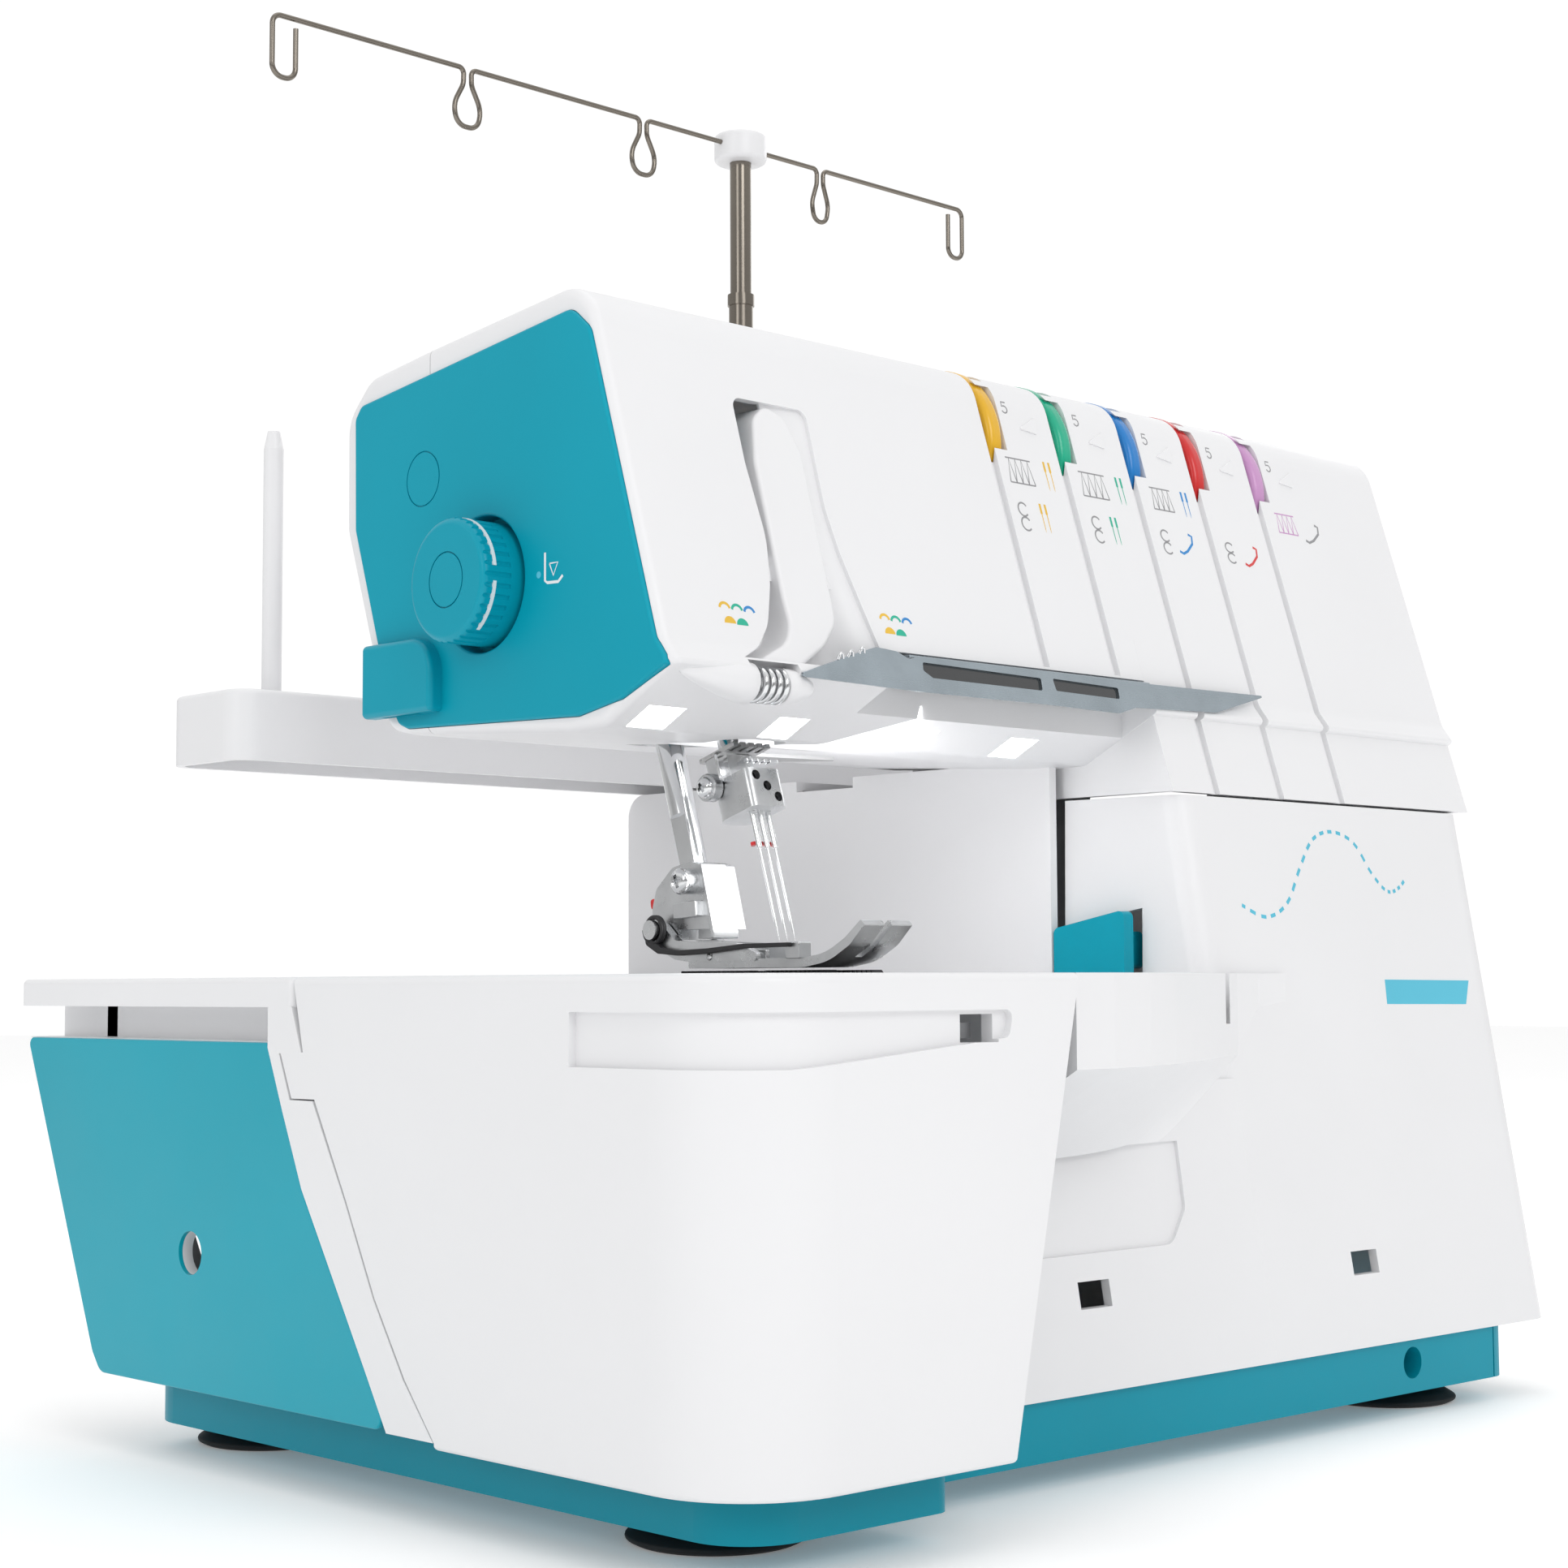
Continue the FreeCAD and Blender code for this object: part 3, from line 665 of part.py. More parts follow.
# ------------------------------------------------------------------ drive
ms = rod((-60, SHAFT_Y, SHAFT_Z), (200, SHAFT_Y, SHAFT_Z), SHAFT_R)
for x0, a in ((-38, 0), (-24, 90), (-10, 200)):
    ms = ms.fuse(rod((x0, SHAFT_Y + 4 * math.cos(math.radians(a)), SHAFT_Z + 4 * math.sin(math.radians(a))),
                     (x0 + 6, SHAFT_Y + 4 * math.cos(math.radians(a)), SHAFT_Z + 4 * math.sin(math.radians(a))), 12))
node("main_shaft", ms.removeSplitter())
dp = ring((176, SHAFT_Y, SHAFT_Z), (186, SHAFT_Y, SHAFT_Z), PULLEY_R, SHAFT_R)
dp = dp.cut(ring((175, SHAFT_Y, SHAFT_Z), (178, SHAFT_Y, SHAFT_Z), 22, 11)).cut(ring((184, SHAFT_Y, SHAFT_Z), (187, SHAFT_Y, SHAFT_Z), 22, 11))
node("drive_pulley", dp)
hw = prism("y", [(195.4, SHAFT_Z + SHAFT_R), (195.4, SHAFT_Z + 31), (198, SHAFT_Z + 32.5), (209.6, SHAFT_Z + 31.5), (212.0, SHAFT_Z + 28), (210.5, SHAFT_Z + 14), (206.0, SHAFT_Z + 12), (206.0, SHAFT_Z + SHAFT_R)],
           [0, 2, 3, 3, 2, 3, 1, 0], SHAFT_Y, SHAFT_Y + 1)
hwf = face("y", [(195.4, SHAFT_Z + SHAFT_R), (195.4, SHAFT_Z + 31), (198, SHAFT_Z + 32.5), (209.6, SHAFT_Z + 31.5), (212.0, SHAFT_Z + 28), (210.5, SHAFT_Z + 14), (206.0, SHAFT_Z + 12), (206.0, SHAFT_Z + SHAFT_R)],
           [0, 2, 3, 3, 2, 3, 1, 0], SHAFT_Y)
hw = hwf.revolve(V(0, SHAFT_Y, SHAFT_Z), V(1, 0, 0), 360)
node("handwheel", hw)
mb = rod((86, MOTOR_Y, MOTOR_Z), (147, MOTOR_Y, MOTOR_Z), 22).fuse(box(92, 140, MOTOR_Y - 16, MOTOR_Y + 16, 30.2, MOTOR_Z - 14))
mb = mb.fuse(rod((82, MOTOR_Y, MOTOR_Z), (87, MOTOR_Y, MOTOR_Z), 14)).cut(rod((120, MOTOR_Y, MOTOR_Z), (150, MOTOR_Y, MOTOR_Z), 3.0 + FIT))
node("motor_body", mb.removeSplitter())
mr = fuse(rod((122, MOTOR_Y, MOTOR_Z), (188, MOTOR_Y, MOTOR_Z), 3.0), rod((176, MOTOR_Y, MOTOR_Z), (186, MOTOR_Y, MOTOR_Z), MOTOR_PULLEY_R))
node("motor_rotor", mr)
dy, dz = MOTOR_Y - SHAFT_Y, MOTOR_Z - SHAFT_Z
dist = math.hypot(dy, dz)
ux, uz = dy / dist, dz / dist


def belt_loop(r1, r2):
    beta = math.asin((r1 - r2) / dist)
    out = []
    for s in (1, -1):
        nx = ux * math.sin(beta) - s * uz * math.cos(beta)
        nz = uz * math.sin(beta) + s * ux * math.cos(beta)
        out.append(((SHAFT_Y + r1 * nx, SHAFT_Z + r1 * nz), (MOTOR_Y + r2 * nx, MOTOR_Z + r2 * nz)))
    quad = prism("x", [out[0][0], out[0][1], out[1][1], out[1][0]], 0, 177, 185)
    return quad.fuse(rod((177, SHAFT_Y, SHAFT_Z), (185, SHAFT_Y, SHAFT_Z), r1)).fuse(rod((177, MOTOR_Y, MOTOR_Z), (185, MOTOR_Y, MOTOR_Z), r2)).removeSplitter()


node("drive_belt", belt_loop(PULLEY_R + 2.2, MOTOR_PULLEY_R + 2.2).cut(belt_loop(PULLEY_R + 0.35, MOTOR_PULLEY_R + 0.35)))
# ------------------------------------------------------------------ power inlet, switch, side dials
inl = box(RIGHT_X - 16, RIGHT_X + 0.6, INLET[0], INLET[1], INLET[2], INLET[3])
inl = inl.cut(box(RIGHT_X - 12, RIGHT_X + 1, INLET[0] + 2.5, INLET[1] - 2.5, INLET[2] + 4, INLET[3] - 4))
for yy in (92.5, 101.5):
    inl = inl.fuse(rod((RIGHT_X - 12.5, yy, 41), (RIGHT_X - 3, yy, 41), 1.2))
node("power_inlet", inl.removeSplitter())
ps = prism("y", [(RIGHT_X - 6.5, SW_Z - 9.6), (RIGHT_X + 1.6, SW_Z - 9.6), (RIGHT_X + 0.2, SW_Z), (RIGHT_X + 1.6, SW_Z + 9.6), (RIGHT_X - 6.5, SW_Z + 9.6)], [3, 1, 12, 1, 3], SW_Y - 6.9, SW_Y + 6.9)
ps = ps.fuse(rod((RIGHT_X - 3.8, SW_Y - 8.8, SW_Z), (RIGHT_X - 3.8, SW_Y + 8.8, SW_Z), 1.2))
node("power_switch", ps)


def side_dial(c, r):
    s = rod((RIGHT_X + 0.4, c[0], c[1]), (RIGHT_X + 7.5, c[0], c[1]), r)
    s = soften(s, lambda e: abs(e.BoundBox.XMin - (RIGHT_X + 7.5)) < 0.01, 1.4)
    for k in range(24):
        a = math.radians(15 * k)
        s = s.cut(rod((RIGHT_X + 0.3, c[0] + (r + 0.3) * math.cos(a), c[1] + (r + 0.3) * math.sin(a)), (RIGHT_X + 8, c[0] + (r + 0.3) * math.cos(a), c[1] + (r + 0.3) * math.sin(a)), 0.8))
    return fuse(s, rod((RIGHT_X - 13, c[0], c[1]), (RIGHT_X + 1, c[0], c[1]), 3.0))


node("differential_dial", side_dial(D1, 14.0))
node("stitch_length_dial", side_dial(D2, 14.0))

# ------------------------------------------------------------------ tension dials and their units
NAMES = ["tension_dial_yellow", "tension_dial_green", "tension_dial_blue", "tension_dial_red", "tension_dial_pink"]
units = []
for x0, nm in zip(SEAM_X, NAMES):
    xs = x0 + SEAM_W - 1.0 + 0.1
    d = rod((xs, DIAL_Y, DIAL_Z), (xs + DIAL_W, DIAL_Y, DIAL_Z), DIAL_R)
    d = soften(d, lambda e: e.Length > 100 and isinstance(e.Curve, Part.Circle), 2.0)
    d = d.cut(ring((xs - 1, DIAL_Y, DIAL_Z), (xs + 1.4, DIAL_Y, DIAL_Z), 20, 8)).cut(rod((xs - 1, DIAL_Y, DIAL_Z), (xs + 10, DIAL_Y, DIAL_Z), 3.0 + FIT))
    node(nm, d)
    sh = fuse(rod((xs - 2.0, DIAL_Y, DIAL_Z), (xs + 20, DIAL_Y, DIAL_Z), 3.0), rod((xs + 18, DIAL_Y, DIAL_Z), (xs + 20, DIAL_Y, DIAL_Z), 5.0))
    units += [sh, ring((xs + 8.0, DIAL_Y, DIAL_Z), (xs + 9.0, DIAL_Y, DIAL_Z), 10.5, 3.0), ring((xs + 9.6, DIAL_Y, DIAL_Z), (xs + 10.6, DIAL_Y, DIAL_Z), 10.5, 3.0),
              ring((xs + 11.2, DIAL_Y, DIAL_Z), (xs + 17.4, DIAL_Y, DIAL_Z), 5.6, 4.6)]
node("tension_units", group(units))

# ------------------------------------------------------------------ spool stand, pins, mast
st_pts = [(-146, 101), (195.0, 101), (195.0, COL_REAR), (-146, COL_REAR)]
st = prism("z", st_pts, [8, 8, 8, 8], 193.0, 214.0).cut(prism("z", st_pts, [8, 8, 8, 8], 190.0, 211.2, inset=2.6))
st = soften(st, lambda e: e.BoundBox.ZMin > 213.9, 1.6)
st = st.fuse(ring((MAST_X, MAST_Y, 193), (MAST_X, MAST_Y, 213), 8.0, MAST_R1)).cut(rod((MAST_X, MAST_Y, 190), (MAST_X, MAST_Y, 216), MAST_R1))
st = st.fuse(box(COL_X + 1, RIGHT_X - 2, 103.2, 104.4, 193.0, 212))
pins = []
for x in SPOOL_X:
    st = st.fuse(rod((x, MAST_Y, 203.4), (x, MAST_Y, 212), 5.0)).cut(rod((x, MAST_Y, 204.0), (x, MAST_Y, 215), 2.4))
    p = fuse(rod((x, MAST_Y, 204.2), (x, MAST_Y, 214.2), 2.4), rod((x, MAST_Y, 214.05), (x, MAST_Y, 290.0), SPOOL_R), cone((x, MAST_Y, 290.0), (x, MAST_Y, 295.5), SPOOL_R, 1.9))
    pins.append(p)
node("spool_stand", st.removeSplitter())
node("spool_pins", group(pins))
lt = ring((MAST_X, MAST_Y, 181), (MAST_X, MAST_Y, 372), MAST_R1, MAST_R2 + 0.08)
lt = lt.fuse(ring((MAST_X, MAST_Y, 368), (MAST_X, MAST_Y, 372), MAST_R1 + 0.5, MAST_R1 - 0.2))
node("mast_lower_tube", lt.removeSplitter())
node("mast_upper_tube", ring((MAST_X, MAST_Y, 300), (MAST_X, MAST_Y, 424), MAST_R2, 3.2))
cap = rod((MAST_X, MAST_Y, 420.0), (MAST_X, MAST_Y, 430.0), 9.4)
cap = soften(cap, lambda e: e.Length > 40, 1.6)
cap = cap.cut(rod((MAST_X, MAST_Y, 419), (MAST_X, MAST_Y, 424.0), MAST_R2 + FIT)).cut(rod((MAST_X - 12, MAST_Y, WIRE_Z + 1.0), (MAST_X + 12, MAST_Y, WIRE_Z + 1.0), WIRE_R + 0.05))
node("mast_cap", cap)


def tear(x, z, w=5.6, h=19.5, neck=1.5):
    return [(x - neck, z), (x - neck * 1.1, z - h * 0.28), (x - w, z - h * 0.66), (x - w * 0.7, z - h), (x + w * 0.7, z - h), (x + w, z - h * 0.66), (x + neck * 1.1, z - h * 0.28), (x + neck, z)]


zw = WIRE_Z + 1.0
wpts = [(-116.5, zw - 2.6), (-116.5, zw - 19.5), (-124.5, zw - 19.5), (-124.5, zw), (-118.0, zw)]
wr = [0, 3.6, 3.6, 3.6, 0]
path = [(-115.6, zw - 3.0), (-115.6, zw - 19.4), (-124.0, zw - 19.4), (-124.0, zw)]
prad = [0, 3.8, 3.8, 3.0]
for x, w in ((-50.0, 5.6), (25.0, 5.6), (110.0, 4.2)):
    t = tear(x, zw, w)
    path += t
    prad += [2.0, 6, 8, 4.2, 4.2, 8, 6, 2.0]
path += [(186.4, zw), (186.4, zw - 19.4), (178.6, zw - 19.4), (178.6, zw - 3.0)]
prad += [3.0, 3.6, 3.6, 0]
wire = outline("y", path, prad, MAST_Y, closed=False)
prof = Part.Wire([Part.Circle(V(path[0][0], MAST_Y, path[0][1]), V(0, 0, 1), WIRE_R).toShape()])
wsolid = wire.makePipeShell([prof], True, False)
node("thread_guide_wire", wsolid)

# ------------------------------------------------------------------ export
bb = FreeCAD.BoundBox()
for name, s in NODES.items():
    bb.add(s.BoundBox)
print("nodes", len(NODES))
print("footprint centre %.3f %.3f  z %.3f %.3f  size %.2f %.2f %.2f" % (bb.Center.x, bb.Center.y, bb.ZMin, bb.ZMax, bb.XLength, bb.YLength, bb.ZLength))
for name, s in NODES.items():
    sols = s.Solids
    if not sols or not s.isValid():
        print("CHECK", name, len(sols), s.isValid())
    elif name not in ("rubber_feet", "led_lenses", "needle_set_screws", "needles", "shaft_bushings", "tension_units", "spool_pins", "presser_foot_holder") and len(sols) != 1:
        print("SOLIDS", name, len(sols), [round(q.Volume, 1) for q in sols])
    t = s.copy()
    t.translate(V(-ORIGIN_X, -ORIGIN_Y, 0))
    if len(sols) == 1:
        t = t.Solids[0]
    t.exportStep("parts/%s.step" % name)
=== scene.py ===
import bpy, bmesh, math
from mathutils import Vector, Matrix


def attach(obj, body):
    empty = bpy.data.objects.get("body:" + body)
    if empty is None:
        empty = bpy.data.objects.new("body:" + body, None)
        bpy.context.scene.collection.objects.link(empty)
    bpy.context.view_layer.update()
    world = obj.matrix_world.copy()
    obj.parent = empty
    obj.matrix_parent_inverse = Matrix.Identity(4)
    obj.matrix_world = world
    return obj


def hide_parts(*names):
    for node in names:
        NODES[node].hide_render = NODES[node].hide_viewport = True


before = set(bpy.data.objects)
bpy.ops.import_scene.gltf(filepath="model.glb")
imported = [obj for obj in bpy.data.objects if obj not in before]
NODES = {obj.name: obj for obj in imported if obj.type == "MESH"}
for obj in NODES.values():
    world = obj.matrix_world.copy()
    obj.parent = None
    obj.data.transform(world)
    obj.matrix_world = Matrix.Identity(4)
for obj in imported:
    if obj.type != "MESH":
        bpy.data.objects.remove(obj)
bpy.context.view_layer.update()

OX, OY = 14.16, 1.5                      # construction frame -> row frame, millimetres


def m(x, y, z):
    """Construction millimetres to row-frame metres."""
    return Vector(((x - OX) / 1000.0, (y - OY) / 1000.0, z / 1000.0))


def y_low(z):
    return -120.0 + 0.173 * (z - 22.6)


def y_up(z):
    return -91.2 + 0.305 * (z - 186.3)


# ------------------------------------------------------------------ materials
def new_mat(name):
    mt = bpy.data.materials.new(name)
    mt.use_nodes = True
    nt = mt.node_tree
    b = nt.nodes["Principled BSDF"]
    return mt, nt, b


def noise(nt, scale, detail=4.0, rough=0.6, dist=0.0, coord="Object", stretch=None):
    tc = nt.nodes.new("ShaderNodeTexCoord")
    src = tc.outputs[coord]
    if stretch:
        mp = nt.nodes.new("ShaderNodeMapping")
        mp.inputs["Scale"].default_value = stretch
        nt.links.new(src, mp.inputs["Vector"])
        src = mp.outputs["Vector"]
    n = nt.nodes.new("ShaderNodeTexNoise")
    n.inputs["Scale"].default_value = scale
    n.inputs["Detail"].default_value = detail
    n.inputs["Roughness"].default_value = rough
    n.inputs["Distortion"].default_value = dist
    nt.links.new(src, n.inputs["Vector"])
    return n


def maprange(nt, src, a, b, lo, hi):
    r = nt.nodes.new("ShaderNodeMapRange")
    r.inputs["From Min"].default_value = a
    r.inputs["From Max"].default_value = b
    r.inputs["To Min"].default_value = lo
    r.inputs["To Max"].default_value = hi
    nt.links.new(src, r.inputs["Value"])
    return r.outputs["Result"]


def bump(nt, b, height, strength, distance=0.0002, prev=None):
    bp = nt.nodes.new("ShaderNodeBump")
    bp.inputs["Strength"].default_value = strength
    bp.inputs["Distance"].default_value = distance
    nt.links.new(height, bp.inputs["Height"])
    if prev is not None:
        nt.links.new(prev, bp.inputs["Normal"])
    nt.links.new(bp.outputs["Normal"], b.inputs["Normal"])
    return bp.outputs["Normal"]


def color_mix(nt, fac, c1, c2):
    mx = nt.nodes.new("ShaderNodeMix")
    mx.data_type = "RGBA"
    mx.inputs[6].default_value = (*c1, 1)
    mx.inputs[7].default_value = (*c2, 1)
    nt.links.new(fac, mx.inputs[0])
    return mx.outputs[2]


def plastic(name, col, rough=0.38, grain=0.05, coat=0.0, sss=0.0, vary=0.012, grain_scale=2600.0, spec=0.5):
    """Moulded plastic: faint colour drift, fine spark-eroded grain and uneven gloss."""
    mt, nt, b = new_mat(name)
    n1 = noise(nt, 9.0, 3.0, 0.5)
    dark = tuple(max(0, c * (1 - vary * 2.2)) for c in col)
    lite = tuple(min(1, c * (1 + vary)) for c in col)
    nt.links.new(color_mix(nt, maprange(nt, n1.outputs["Fac"], 0.35, 0.65, 0.0, 1.0), dark, lite), b.inputs["Base Color"])
    n2 = noise(nt, 38.0, 5.0, 0.6)
    nt.links.new(maprange(nt, n2.outputs["Fac"], 0.3, 0.7, rough - 0.035, rough + 0.045), b.inputs["Roughness"])
    n3 = noise(nt, grain_scale, 2.0, 0.5)
    bump(nt, b, n3.outputs["Fac"], grain, 0.00004)
    b.inputs["IOR"].default_value = 1.5
    b.inputs["Specular IOR Level"].default_value = spec
    b.inputs["Coat Weight"].default_value = coat
    b.inputs["Coat Roughness"].default_value = 0.18
    if sss > 0:
        b.inputs["Subsurface Weight"].default_value = sss
        b.inputs["Subsurface Radius"].default_value = (0.004, 0.003, 0.0025)
        b.inputs["Subsurface Scale"].default_value = 0.5
    return mt


def metal(name, col, rough=0.2, brushed=None, aniso=0.0, vary=0.05, scratch=0.04, scale=120.0):
    """Metal with directional polish marks, faint tarnish and uneven gloss."""
    mt, nt, b = new_mat(name)
    b.inputs["Metallic"].default_value = 1.0
    n1 = noise(nt, 60.0, 4.0, 0.6)
    dark = tuple(c * (1 - vary * 2) for c in col)
    nt.links.new(color_mix(nt, maprange(nt, n1.outputs["Fac"], 0.3, 0.7, 0, 1), dark, col), b.inputs["Base Color"])
    st = brushed or (1, 1, 1)
    n2 = noise(nt, scale, 6.0, 0.65, 0.0, "Object", st)
    nt.links.new(maprange(nt, n2.outputs["Fac"], 0.3, 0.7, max(0.03, rough - 0.07), rough + 0.08), b.inputs["Roughness"])
    bump(nt, b, n2.outputs["Fac"], scratch, 0.00003)
    b.inputs["Anisotropic"].default_value = aniso
    return mt


WHITE = plastic("moulded_white", (0.83, 0.83, 0.842), rough=0.36, grain=0.045, sss=0.0, vary=0.006)
WHITE_IN = plastic("moulded_white_inner", (0.78, 0.78, 0.79), rough=0.5, grain=0.08)
TEAL = plastic("moulded_teal", (0.0, 0.335, 0.450), rough=0.36, grain=0.05, vary=0.02, spec=0.2)
# Base-pan teal is darker than the face-plate teal: painted shade on the same teal plastic.
TEAL_PAINTED_SHADE = plastic("moulded_teal_pan_painted_shade", (0.0, 0.285, 0.385), rough=0.4, grain=0.05, vary=0.02, spec=0.2)
# Side-panel teal is lighter than the face-plate teal: painted light on the same teal plastic.
TEAL_PAINTED_LIGHT = plastic("moulded_teal_side_painted_light", (0.0, 0.36, 0.465), rough=0.34, grain=0.05, vary=0.02, spec=0.35)
TEAL_DEEP = plastic("moulded_teal_knob", (0.0, 0.33, 0.445), rough=0.32, grain=0.04, vary=0.02, spec=0.25)
BLACKP = plastic("black_plastic", (0.018, 0.018, 0.02), rough=0.42, grain=0.12, vary=0.05)
# Near-black glossy sheet for the guide-plate slots: painted shade filling the openings, not a smoked window.
PAINTED_SHADE_BLACK = plastic("painted_shade_black_sheet", (0.012, 0.014, 0.016), rough=0.07, grain=0.0, coat=0.6, vary=0.02)
RUBBER = plastic("black_rubber", (0.012, 0.012, 0.013), rough=0.72, grain=0.35, vary=0.1, grain_scale=900.0)
GREYP = plastic("light_grey_plastic", (0.55, 0.56, 0.57), rough=0.4, grain=0.06)
# Grey for the channel in the white moulding: painted shade, not a grey plastic.
GROOVE_PAINTED_SHADE = plastic("channel_painted_shade_grey", (0.50, 0.51, 0.525), rough=0.5, grain=0.05)
REDP = plastic("red_tip", (0.72, 0.02, 0.02), rough=0.3, grain=0.04)
CHROME = metal("polished_steel", (0.80, 0.81, 0.82), rough=0.13, brushed=(1, 1, 0.05), vary=0.05, scratch=0.03, scale=400.0)
MAST = metal("mast_steel", (0.24, 0.215, 0.185), rough=0.20, brushed=(1, 1, 0.04), vary=0.05, scratch=0.03, scale=400.0)
BRUSHED = metal("brushed_steel", (0.58, 0.58, 0.58), rough=0.30, brushed=(0.06, 1, 1), vary=0.08, scratch=0.10, scale=500.0)
ZINC = metal("plated_casting", (0.70, 0.71, 0.72), rough=0.30, vary=0.12, scratch=0.12, scale=160.0)
CAST = metal("cast_aluminium", (0.50, 0.51, 0.52), rough=0.48, vary=0.12, scratch=0.35, scale=260.0)
BRONZE = metal("bronze", (0.60, 0.40, 0.20), rough=0.35, vary=0.1)
DARKM = metal("dark_oxide", (0.05, 0.05, 0.055), rough=0.35, vary=0.2)
YEL = plastic("dial_yellow", (0.80, 0.45, 0.012), rough=0.24, grain=0.03, coat=0.25, vary=0.02)
GRN = plastic("dial_green", (0.003, 0.42, 0.245), rough=0.24, grain=0.03, coat=0.25, vary=0.02)
BLU = plastic("dial_blue", (0.003, 0.195, 0.56), rough=0.24, grain=0.03, coat=0.25, vary=0.02)
RED = plastic("dial_red", (0.62, 0.017, 0.017), rough=0.24, grain=0.03, coat=0.25, vary=0.02)
PNK = plastic("dial_pink", (0.57, 0.29, 0.55), rough=0.24, grain=0.03, coat=0.25, vary=0.02)


def ink(name, col, rough=0.5):
    """Pad-printed ink: matte, very slightly uneven."""
    return plastic(name, col, rough=rough, grain=0.02, vary=0.03)


INK_GREY = ink("ink_light_grey", (0.62, 0.62, 0.635))
INK_MID = ink("ink_mid_grey", (0.30, 0.30, 0.31))
INK_DARK = ink("ink_dark", (0.055, 0.055, 0.06))
INK_TEAL = ink("ink_teal", (0.10, 0.53, 0.70))
INK_WHITE = ink("ink_white", (0.85, 0.86, 0.87))
INK_Y = ink("ink_yellow", (0.80, 0.50, 0.05))
INK_G = ink("ink_green", (0.02, 0.45, 0.30))
INK_B = ink("ink_blue", (0.03, 0.25, 0.60))
INK_R = ink("ink_red", (0.65, 0.05, 0.05))
INK_P = ink("ink_pink", (0.60, 0.33, 0.58))

LED, nt, b = new_mat("led_lens")
b.inputs["Base Color"].default_value = (1, 1, 1, 1)
b.inputs["Emission Color"].default_value = (1, 1, 1, 1)
n1 = noise(nt, 500.0, 2.0, 0.5)
nt.links.new(maprange(nt, n1.outputs["Fac"], 0.3, 0.7, 7.0, 8.0), b.inputs["Emission Strength"])
b.inputs["Roughness"].default_value = 0.4

# Dark blue-grey tint on the guide-plate steel: painted reflection of the dark underside, not a blued finish.
GUIDE_PAINTED_REFLECTION = metal("steel_plate_painted_dark_reflection", (0.40, 0.46, 0.50), rough=0.26, brushed=(0.06, 1, 1), vary=0.08, scratch=0.05, scale=400.0)
SX = [-1.8, 28.8, 60.9, 92.0, 122.9]

MATS = {
    "base_pan": TEAL_PAINTED_SHADE, "rubber_feet": RUBBER, "main_frame": CAST, "lower_front_cover": WHITE, "rear_cover": WHITE,
    "upper_front_cover": WHITE, "top_rear_cover": WHITE, "face_plate": TEAL, "bed_cover": WHITE, "stitch_plate": BRUSHED,
    "lower_knife": BRUSHED, "led_lenses": LED, "thread_guide_plate": CHROME, "takeup_cover": WHITE, "coil_thread_guide": CHROME,
    "thread_cutter": TEAL_DEEP, "spool_stand": WHITE, "spool_pins": WHITE, "mast_lower_tube": MAST, "tension_units": BRUSHED,
    "motor_body": BLACKP, "shaft_bushings": BRONZE, "power_inlet": BLACKP, "drive_belt": RUBBER,
    "main_shaft": BRUSHED, "drive_pulley": CAST, "handwheel": WHITE, "motor_rotor": BRUSHED,
    "needle_bar": CHROME, "needle_clamp": ZINC, "needle_set_screws": DARKM, "needles": CHROME, "needle_thread_guide": BRUSHED,
    "take_up_lever": CHROME, "upper_looper": CHROME, "lower_looper": CHROME, "feed_dog_front": DARKM, "feed_dog_rear": DARKM,
    "upper_knife": BRUSHED, "presser_bar": CHROME, "presser_foot_holder": ZINC, "presser_foot": ZINC, "presser_lifter": WHITE,
    "pressure_knob": TEAL_DEEP, "tension_dial_yellow": YEL, "tension_dial_green": GRN, "tension_dial_blue": BLU, "tension_dial_red": RED,
    "tension_dial_pink": PNK, "differential_dial": WHITE, "stitch_length_dial": WHITE, "power_switch": BLACKP,
    "mast_upper_tube": MAST, "mast_cap": WHITE, "thread_guide_wire": MAST, "looper_cover": WHITE, "cover_hinge_rod": BRUSHED,
    "left_cover": WHITE, "left_cover_panel": TEAL_PAINTED_LIGHT, "threader_key": TEAL,
}
for name, ob in NODES.items():
    mt = MATS.get(name, WHITE)
    if not ob.material_slots:
        ob.data.materials.append(mt)
    for sl in ob.material_slots:
        sl.material = mt

# ------------------------------------------------------------------ stage, light, camera
def plane(name, size, z):
    me = bpy.data.meshes.new(name)
    s = size
    me.from_pydata([(-s, -s, z), (s, -s, z), (s, s, z), (-s, s, z)], [], [(0, 1, 2, 3)])
    o = bpy.data.objects.new(name, me)
    bpy.context.scene.collection.objects.link(o)
    return o


floor = plane("floor", 6.0, 0.0)
fm, nt, b = new_mat("floor_paint")
b.inputs["Base Color"].default_value = (0.93, 0.93, 0.93, 1)
b.inputs["Roughness"].default_value = 0.75
n1 = noise(nt, 3.0, 3.0, 0.5)
nt.links.new(color_mix(nt, n1.outputs["Fac"], (0.925, 0.925, 0.925), (0.94, 0.94, 0.94)), b.inputs["Base Color"])
b.inputs["Emission Color"].default_value = (1, 1, 1, 1)
b.inputs["Emission Strength"].default_value = 0.16
floor.data.materials.append(fm)

